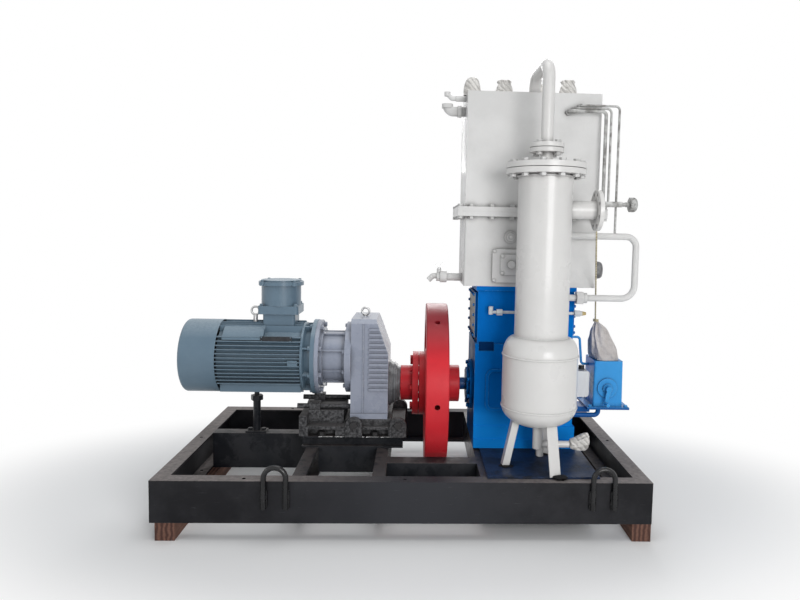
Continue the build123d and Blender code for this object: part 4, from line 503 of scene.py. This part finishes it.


# Crankcase: a blue iron casting on the sole plate, with its covers screwed down all round.
# Painted light makes its foot a lighter blue and painted shade darkens the recess in its front; the plate on its
# left is pale.
# Its edges and upward faces are painted a lighter blue, as painted highlights.
case_paint = painted("case_blue", (0.0, 0.155, 0.55), (0.0, 0.125, 0.46), (0.16, 0.46, 0.80),
                     dust=(0.02, 0.24, 0.62), specular=0.02, patch_scale=5.0, patch_amount=0.6,
                     edge_radius=0.004, edge_amount=0.7, dust_amount=0.6, rough=0.40, rough_spread=0.25,
                     grain_scale=45.0, grain_height=0.0012)
case_tree = case_paint.node_tree
# Painted light: the lower part is a lighter blue, for light thrown up from the floor.
laid_over(case_paint, within(case_tree, (None, None, None), (None, None, 0.50), 0.03), (0.006, 0.235, 0.72))
# Painted shade: the recess in the front is a darker blue.
laid_over(case_paint, within(case_tree, (0.377, None, 0.822), (0.458, None, 0.869), 0.003),
          (0.001, 0.03, 0.12))
laid_over(case_paint, within(case_tree, (0.3527, None, 0.887), (0.3565, None, 1.128), 0.0003),
          (0.36, 0.39, 0.36))
dress(case_paint, "crankcase", "crankcase_covers")
shaft_z = 0.598
screws("bearing_screws", round_x(0.341, drive_y, shaft_z, 0.122, 8, 22.5), (-1, 0, 0), 0.019, 0.011,
       case_paint, "frame")
side_cover = [(y, z) for z in (0.897, 1.118) for y in (-0.108, -0.04, 0.04, 0.12, 0.188)]
side_cover += [(y, z) for y in (-0.108, 0.188) for z in (0.952, 1.007, 1.062)]
screws("left_cover_screws", [(0.353, y, z) for y, z in side_cover], (-1, 0, 0), 0.013, 0.007, case_paint,
       "frame")
screws("right_cover_screws", [(0.896, y, max(z, 0.918)) for y, z in side_cover], (1, 0, 0), 0.013, 0.007,
       case_paint, "frame")


# Lubricator: a box with a slanted face in brighter blue, with its hand crank, base plate and pipes.
# The plate is a darker blue than the box, and four screws hold it down.
lube_paint = painted("lubricator_blue", (0.05, 0.335, 0.75), (0.035, 0.29, 0.66), (0.30, 0.58, 0.85),
                     dust=(0.06, 0.32, 0.66), specular=0.12, coat=0.05, patch_scale=9.0, patch_amount=0.5,
                     edge_radius=0.005, edge_amount=0.7, dust_amount=0.2, rough=0.3, rough_spread=0.25,
                     grain_scale=60.0, grain_height=0.0008)
laid_over(lube_paint, within(lube_paint.node_tree, (None, None, None), (None, None, 0.507)),
          (0.006, 0.10, 0.34))
dress(lube_paint, "lubricator", "lubricator_crank")
screws("plate_screws", [(x, y, 0.508) for x in (1.003, 1.201) for y in (-0.108, 0.112)], (0, 0, 1), 0.018,
       0.010, lube_paint, "frame")


# Blocks and pipes: welded steel in pale grey gloss, scuffed and dusty.
# The vessel's seams are proud welds that run right round it, painted over.
block_paint = painted("block_grey", (0.70, 0.695, 0.685), (0.60, 0.595, 0.585), (0.4, 0.38, 0.37),
                      dust=(0.62, 0.60, 0.59), specular=0.03, patch_scale=2.6, patch_amount=0.7,
                      edge_radius=0.002, edge_amount=0.3, dust_amount=0.3, rough=0.3, rough_spread=0.3,
                      grain_scale=40.0, grain_height=0.0005)
dress(block_paint, "lower_block", "water_jacket", "inspection_plate", "cooling_pipe", "water_fittings",
      "drain_cock")
vessel_paint = painted("vessel_grey", (0.66, 0.65, 0.635), (0.61, 0.60, 0.585), (0.45, 0.42, 0.4),
                       dust=(0.6, 0.58, 0.56), coat=0.2, patch_scale=3.0, patch_amount=0.5, edge_radius=0.002,
                       edge_amount=0.3, dust_amount=0.2, rough=0.3, rough_spread=0.15, grain_scale=30.0,
                       grain_height=0.0005)
dress(vessel_paint, "separator_shell", "separator_cover", "separator_legs", "delivery_pipe")


def weld_rings(name, rings, finish):
    """Lay a rounded, slightly uneven weld bead round a vessel at each level."""
    build = bmesh.new()
    for x, y, z, radius, bead in rings:
        start = Matrix.Translation((x + radius, y, z)) @ Matrix.Rotation(math.pi / 2, 4, "X")
        made = bmesh.ops.create_circle(build, segments=8, radius=bead, matrix=start)
        edges = list({e for v in made["verts"] for e in v.link_edges})
        bmesh.ops.spin(build, geom=made["verts"] + edges, cent=(x, y, z), axis=(0, 0, 1), angle=2 * math.pi,
                       steps=96, use_merge=True)
    bmesh.ops.recalc_face_normals(build, faces=build.faces[:])
    for vert in build.verts:
        vert.co += 0.0009 * noise.noise_vector(vert.co * 130.0)
    return finished(name, build, finish, "frame", smooth=True)


vessel_x, vessel_y = 0.657, -0.434
seams = ((vessel_x, vessel_y, 0.946, 0.131, 0.0045), (vessel_x, vessel_y, 0.856, 0.1855, 0.005),
         (vessel_x, vessel_y, 0.600, 0.1855, 0.005), (vessel_x, vessel_y, 1.728, 0.133, 0.006),
         (0.646, -0.100, 2.184, 0.031, 0.005))
weld_rings("vessel_welds", seams, vessel_paint)
panel_holes = [(0.552 + x, -0.194, 1.285 + z) for x in (-0.064, 0.064) for z in (-0.044, 0.044)]
panel_holes += [(0.540 + x, -0.186, 1.278 + z) for x in (-0.094, 0.094) for z in (-0.077, 0.077)]
screws("panel_screws", panel_holes, (0, -1, 0), 0.015, 0.006, block_paint, "frame", domed=True)


# Running gear inside: machined steel and iron, with bronze bearings and a wound stator.
# Where the crankshaft shows between the flywheel and the crankcase it is painted blue.
steel = painted("machined_steel", (0.5, 0.5, 0.5), (0.42, 0.42, 0.43), (0.6, 0.6, 0.6), metal=1.0,
                patch_scale=12.0, patch_amount=0.4, edge_radius=0.001, edge_amount=0.2, dust_amount=0.0,
                rough=0.35, rough_spread=0.2, grain_scale=260.0, grain_height=0.0001)
dress(steel, "motor_rotor", "input_pinion", "output_gear", "output_shaft", "connecting_rod_1",
      "connecting_rod_2", "eyebolts", "drain_lever", "crosshead_1", "crosshead_2", "piston_1",
      "piston_2", "cylinders")
shaft_paint = painted("shaft_blue", (0.004, 0.085, 0.30), (0.004, 0.065, 0.24), (0.3, 0.4, 0.5),
                      patch_scale=20.0, patch_amount=0.5, edge_radius=0.002, edge_amount=0.4, dust_amount=0.0,
                      rough=0.35, rough_spread=0.2, grain_scale=120.0, grain_height=0.0003)
laid_over(shaft_paint, within(shaft_paint.node_tree, (0.360, None, None), (None, None, None)),
          (0.36, 0.36, 0.37))
dress(shaft_paint, "crankshaft")
tube_steel = painted("tube_pale", (0.50, 0.50, 0.49), (0.20, 0.195, 0.185), (0.4, 0.4, 0.4), patch_scale=24.0,
                     patch_amount=1.0, edge_radius=0.001, edge_amount=0.3, dust_amount=0.0, rough=0.35,
                     rough_spread=0.2, grain_scale=260.0, grain_height=0.0001)
dress(tube_steel, "gauge_lines", "handwheel")
oil_paint = painted("oil_line_white", (0.66, 0.68, 0.69), (0.50, 0.54, 0.58), (0.3, 0.32, 0.34),
                    patch_scale=30.0, patch_amount=0.8, edge_radius=0.001, edge_amount=0.5, dust_amount=0.0,
                    rough=0.3, rough_spread=0.2, grain_scale=160.0, grain_height=0.0006)
laid_over(oil_paint, within(oil_paint.node_tree, (0.915, None, None), (None, None, None), 0.004),
          (0.52, 0.40, 0.18))
dress(oil_paint, "oil_line")
bronze = painted("bearing_bronze", (0.5, 0.33, 0.13), (0.42, 0.27, 0.1), (0.6, 0.45, 0.2), metal=1.0,
                 patch_scale=12.0, patch_amount=0.4, edge_radius=0.001, edge_amount=0.2, dust_amount=0.0,
                 rough=0.4, rough_spread=0.2, grain_scale=260.0, grain_height=0.0001)
dress(bronze, "bearings", "stator_core")
white_plastic = painted("motor_white", (0.72, 0.73, 0.73), (0.66, 0.67, 0.68), (0.5, 0.5, 0.5),
                        patch_scale=12.0, patch_amount=0.4, edge_radius=0.004, edge_amount=0.2,
                        dust_amount=0.2, rough=0.4, rough_spread=0.2, grain_scale=90.0, grain_height=0.0003)
laid_over(white_plastic, within(white_plastic.node_tree, (None, None, 0.7065), (None, None, None)),
          (0.02, 0.02, 0.022))
dress(white_plastic, "lubricator_motor")
fan_plastic = painted("fan_black", (0.02, 0.02, 0.02), (0.03, 0.03, 0.03), (0.05, 0.05, 0.05),
                      patch_scale=12.0, patch_amount=0.4, edge_radius=0.001, edge_amount=0.2, dust_amount=0.0,
                      rough=0.5, rough_spread=0.2, grain_scale=90.0, grain_height=0.0003)
dress(fan_plastic, "cooling_fan")


# Wrapping film: stretch film wound over the open ports, pulled into folds and twisted shut.
# Each is a skin drawn up ring by ring and closed above, and below too where its end would show.
# Its folds run up it and lean the way the film was wound.
film, film_tree, film_shader, film_where = plain_finish("stretch_film", rough=0.32, specular=0.5)
film_cloud = cloud(film_tree, film_where, 24.0, 5.0, 0.6)
film_colour = blend_of(film_tree, span(film_tree, film_cloud, 0.35, 0.65), (0.78, 0.76, 0.73, 1),
                       (0.60, 0.58, 0.55, 1))
film_tree.links.new(film_colour, film_shader.inputs["Base Color"])
film_fold = shader_node(film_tree, "ShaderNodeMapping", None, Vector=film_where, Rotation=(0.5, 0.35, 0.0),
                        Scale=(1.0, 1.0, 3.0)).outputs[0]
film_folds = cloud(film_tree, film_fold, 38.0, 3.0, 0.5)
film_wind = shader_node(film_tree, "ShaderNodeMapping", None, Vector=film_where,
                        Rotation=(0.0, 0.75, 0.0)).outputs[0]
film_wound = shader_node(film_tree, "ShaderNodeTexWave", {"bands_direction": "X"}, Vector=film_wind, Scale=14.0,
                         Distortion=3.5, Detail=3.0).outputs["Fac"]
film_folds = sum_of(film_tree, film_folds, sum_of(film_tree, film_wound, 0.35, "MULTIPLY"))
laid_over(film, span(film_tree, film_wound, 0.45, 0.05, 0.0, 0.55), (0.34, 0.33, 0.31))
film_bump = shader_node(film_tree, "ShaderNodeBump", None, Height=film_folds, Distance=0.008).outputs[0]
film_tree.links.new(film_bump, film_shader.inputs["Normal"])


def drawn_skin(levels, segments, square, lean, folds, closed_low):
    """Draw a skin up through rings, each (centre, half sizes along its two axes, depth of its folds)."""
    build = bmesh.new()
    ring = bmesh.ops.create_circle(build, segments=segments, radius=1.0)["verts"]
    edges = [e for e in build.edges]
    turns = [2 * math.pi * step / segments for step in range(segments)]
    for number, (centre, across, deep, fold) in enumerate(levels):
        if number:
            made = bmesh.ops.extrude_edge_only(build, edges=edges)["geom"]
            fresh = [v for v in made if isinstance(v, bmesh.types.BMVert)]
            edges = [e for e in made
                     if isinstance(e, bmesh.types.BMEdge) and all(v in fresh for v in e.verts)]
            ring = [next(e.other_vert(v) for e in v.link_edges if e.other_vert(v) in fresh) for v in ring]
        for vert, turn in zip(ring, turns):
            c, s = math.cos(turn), math.sin(turn)
            power = 2.0 / square
            shape = Vector((across * math.copysign(abs(c) ** power, c),
                            deep * math.copysign(abs(s) ** power, s), 0))
            ripple = 0.5 - 0.5 * math.cos(folds * turn + lean * number + 1.7 * math.sin(2 * turn + number))
            vert.co = Vector(centre) + shape * (1.0 - fold * ripple)
    bmesh.ops.contextual_create(build, geom=edges)
    if closed_low:
        low_edges = [e for e in build.edges if len(e.link_faces) == 1]
        bmesh.ops.contextual_create(build, geom=low_edges)
    bmesh.ops.recalc_face_normals(build, faces=build.faces[:])
    return build


def softened(piece, levels=2):
    """Smooth a skin with a live subdivision surface."""
    smooth = piece.modifiers.new("smooth", "SUBSURF")
    smooth.levels = levels
    smooth.render_levels = levels


cap_shapes = {
    "domed": ((0.0005, 0.047, 0.02), (0.020, 0.0485, 0.05), (0.045, 0.046, 0.08), (0.066, 0.042, 0.10),
              (0.084, 0.035, 0.10), (0.096, 0.022, 0.12), (0.0995, 0.008, 0.10)),
    "tufted": ((0.0005, 0.049, 0.04), (0.018, 0.050, 0.08), (0.050, 0.049, 0.12), (0.072, 0.042, 0.20),
               (0.084, 0.037, 0.26), (0.096, 0.045, 0.30), (0.0985, 0.040, 0.30)),
}
block_top = 2.1825
for number, (x, y, shape) in enumerate(((0.321, -0.020, "domed"), (0.500, 0.040, "tufted"),
                                        (0.705, 0.120, "tufted"), (0.843, 0.0, "tufted"))):
    cap_levels = [((x, y, block_top + z), r, r, fold) for z, r, fold in cap_shapes[shape]]
    cap_skin = drawn_skin(cap_levels, 48, 2.0, 0.9 if shape == "domed" else 0.15, 7, False)
    cap = finished(f"port_film_{number + 1}", cap_skin, film, "frame", smooth=True)
    softened(cap)
    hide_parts("film_wraps")
drain_levels = (((0.0, 0.0, 0.0), 0.024, 0.024, 0.06), ((0.0, 0.0, 0.012), 0.027, 0.027, 0.10),
                ((0.0, -0.003, 0.030), 0.031, 0.029, 0.22), ((-0.004, 0.002, 0.052), 0.040, 0.035, 0.30),
                ((-0.008, 0.0, 0.074), 0.047, 0.038, 0.34), ((-0.013, -0.002, 0.090), 0.046, 0.036, 0.38),
                ((-0.020, 0.0, 0.099), 0.034, 0.028, 0.42))
drain_build = drawn_skin(drain_levels, 40, 2.6, 0.35, 6, True)
bmesh.ops.transform(drain_build, verts=drain_build.verts[:], matrix=Matrix.Translation((0.8175, -0.434, 0.406))
                    @ Matrix.Rotation(math.pi / 2, 4, "Y"))
drain_film = finished("drain_film", drain_build, film, "frame", smooth=True)
softened(drain_film)
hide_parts("film_wraps")
dark_film, dark_tree, dark_shader, dark_where = plain_finish("dark_film", rough=0.35, specular=0.4)
dark_cloud = cloud(dark_tree, dark_where, 40.0, 5.0, 0.6)
dark_colour = blend_of(dark_tree, span(dark_tree, dark_cloud, 0.35, 0.65), (0.10, 0.10, 0.105, 1),
                       (0.22, 0.22, 0.22, 1))
dark_tree.links.new(dark_colour, dark_shader.inputs["Base Color"])
dark_bump = shader_node(dark_tree, "ShaderNodeBump", None, Height=dark_cloud, Distance=0.005).outputs[0]
dark_tree.links.new(dark_bump, dark_shader.inputs["Normal"])
port_levels = (((1.028, -0.025, 1.2085), 0.024, 0.024, 0.10), ((1.029, -0.025, 1.222), 0.036, 0.038, 0.12),
               ((1.029, -0.025, 1.256), 0.038, 0.040, 0.08), ((1.029, -0.025, 1.290), 0.036, 0.037, 0.14),
               ((1.029, -0.025, 1.3055), 0.020, 0.020, 0.20))
port_skin = drawn_skin(port_levels, 40, 2.6, 0.4, 5, True)
port_film = finished("right_port_film", port_skin, dark_film, "frame", smooth=True)
softened(port_film)
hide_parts("film_wraps")


# Sealant daubed round the vessel's feet: black mastic on the plate that they stand on.
# It was put on by hand, in low uneven pats that reach a little past each foot.
mastic = painted("black_mastic", (0.003, 0.003, 0.004), (0.009, 0.009, 0.010), (0.02, 0.02, 0.02),
                 dust=(0.02, 0.02, 0.02), specular=0.15, patch_scale=30.0, patch_amount=0.8,
                 edge_radius=0.002, edge_amount=0.2, dust_amount=0.1, rough=0.6, rough_spread=0.2,
                 grain_scale=120.0, grain_height=0.002)
for number, (x, y, low, reach) in enumerate(((0.500, -0.458, 0.2954, 0.046), (0.738, -0.600, 0.2854, 0.048),
                                             (0.716, -0.272, 0.2954, 0.050))):
    pat_levels = (((x, y, low), reach, reach * 0.70, 0.30), ((x, y, 0.2985), reach * 0.94, reach * 0.64, 0.32),
                  ((x, y, 0.3020), reach * 0.70, reach * 0.45, 0.34),
                  ((x, y, 0.3035), reach * 0.35, reach * 0.22, 0.3))
    pat_skin = drawn_skin(pat_levels, 36, 2.0, 0.5, 7, True)
    softened(finished(f"foot_mastic_{number + 1}", pat_skin, mastic, "frame", smooth=True), 1)


# Shims under the gearbox base: bright thin strips of steel that level it on the skid.
# They are left long and uneven at the front edge, where they show.
shim_metal = painted("shim_bright", (0.55, 0.55, 0.55), (0.30, 0.30, 0.30), (0.6, 0.6, 0.6), metal=0.7,
                     patch_scale=60.0, patch_amount=0.9, edge_radius=0.001, edge_amount=0.2, dust_amount=0.0,
                     rough=0.35, rough_spread=0.3, grain_scale=200.0, grain_height=0.0004)
shim_build = bmesh.new()
for start, end in ((-0.470, -0.395), (-0.385, -0.335), (-0.330, -0.225), (-0.215, -0.150), (-0.140, -0.092)):
    bmesh.ops.create_cube(shim_build, size=1.0, matrix=Matrix.Translation(((start + end) / 2, -0.1655, 0.3466))
                          @ Matrix.Diagonal((end - start, 0.010, 0.0022, 1.0)))
bmesh.ops.subdivide_edges(shim_build, edges=[e for e in shim_build.edges if e.calc_length() > 0.03], cuts=9)
for vert in shim_build.verts:
    vert.co.y += 0.0035 * noise.noise(vert.co * 90.0) if vert.co.y < -0.166 else 0.0
    vert.co.z += 0.0012 * noise.noise(vert.co * 70.0 + Vector((3.0, 0.0, 0.0)))
finished("base_shims", shim_build, shim_metal, "frame")


# Bag over the lubricator: a loose sack of woven plastic tape, open below and gathered to a knot above.
# It bulges on the left, slopes to the right and is crumpled all over; the tie is wound round its neck.
sack, sack_tree, sack_shader, sack_where = plain_finish("woven_sack", rough=0.55, specular=0.3)
sack_cloud = cloud(sack_tree, sack_where, 9.0, 5.0, 0.6)
sack_colour = blend_of(sack_tree, span(sack_tree, sack_cloud, 0.35, 0.7), (0.76, 0.72, 0.70, 1),
                       (0.52, 0.48, 0.465, 1))
sack_tree.links.new(sack_colour, sack_shader.inputs["Base Color"])
sack_warp = shader_node(sack_tree, "ShaderNodeTexWave", {"bands_direction": "Z"}, Vector=sack_where, Scale=130.0,
                        Distortion=0.6).outputs["Fac"]
sack_weft = shader_node(sack_tree, "ShaderNodeTexWave", {"bands_direction": "DIAGONAL"}, Vector=sack_where,
                        Scale=90.0, Distortion=0.6).outputs["Fac"]
sack_crumple = cloud(sack_tree, sack_where, 26.0, 4.0, 0.55)
sack_height = sum_of(sack_tree, sum_of(sack_tree, sack_warp, sack_weft, "MULTIPLY"), 0.05, "MULTIPLY")
sack_height = sum_of(sack_tree, sack_height, sack_crumple)
sack_bump = shader_node(sack_tree, "ShaderNodeBump", None, Height=sack_height, Distance=0.022).outputs[0]
sack_tree.links.new(sack_bump, sack_shader.inputs["Normal"])
bag_levels = (((1.103, 0.004, 0.7612), 0.077, 0.098, 0.02), ((1.098, 0.000, 0.778), 0.082, 0.096, 0.04),
              ((1.090, -0.004, 0.800), 0.083, 0.092, 0.07), ((1.083, -0.010, 0.830), 0.078, 0.084, 0.10),
              ((1.076, -0.016, 0.860), 0.072, 0.075, 0.16), ((1.068, -0.028, 0.892), 0.063, 0.062, 0.15),
              ((1.062, -0.036, 0.920), 0.054, 0.052, 0.26), ((1.052, -0.045, 0.945), 0.040, 0.040, 0.20),
              ((1.044, -0.052, 0.963), 0.026, 0.026, 0.22), ((1.034, -0.058, 0.976), 0.014, 0.014, 0.20),
              ((1.030, -0.060, 0.9855), 0.0125, 0.0125, 0.12))
bag_build = drawn_skin(bag_levels, 72, 2.9, 0.22, 9, False)
bag_build.normal_update()
for vert in bag_build.verts:
    crumple = noise.fractal(vert.co * 22.0, 0.8, 2.0, 4)
    vert.co += vert.normal * (-0.0050 + 0.0075 * max(-1.0, min(0.6, crumple)))
bag = finished("bag_sack", bag_build, sack, "frame", smooth=True)
softened(bag)
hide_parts("bag")
neck_x, neck_y = 1.031, -0.059
knot_build = bmesh.new()
for lift, radius in ((0.974, 0.0165), (0.979, 0.0160), (0.984, 0.0165)):
    strand = Matrix.Translation((neck_x + radius - 0.003, neck_y, lift))
    strand = strand @ Matrix.Rotation(math.pi / 2, 4, "X")
    made = bmesh.ops.create_circle(knot_build, segments=8, radius=0.0028, matrix=strand)
    loop_edges = list({e for v in made["verts"] for e in v.link_edges})
    bmesh.ops.spin(knot_build, geom=made["verts"] + loop_edges, cent=(neck_x, neck_y, lift),
                   axis=(0.12, 0.1, 1), angle=2 * math.pi, steps=32, use_merge=True)
bmesh.ops.recalc_face_normals(knot_build, faces=knot_build.faces[:])
finished("bag_knot", knot_build, jute, "frame", smooth=True)
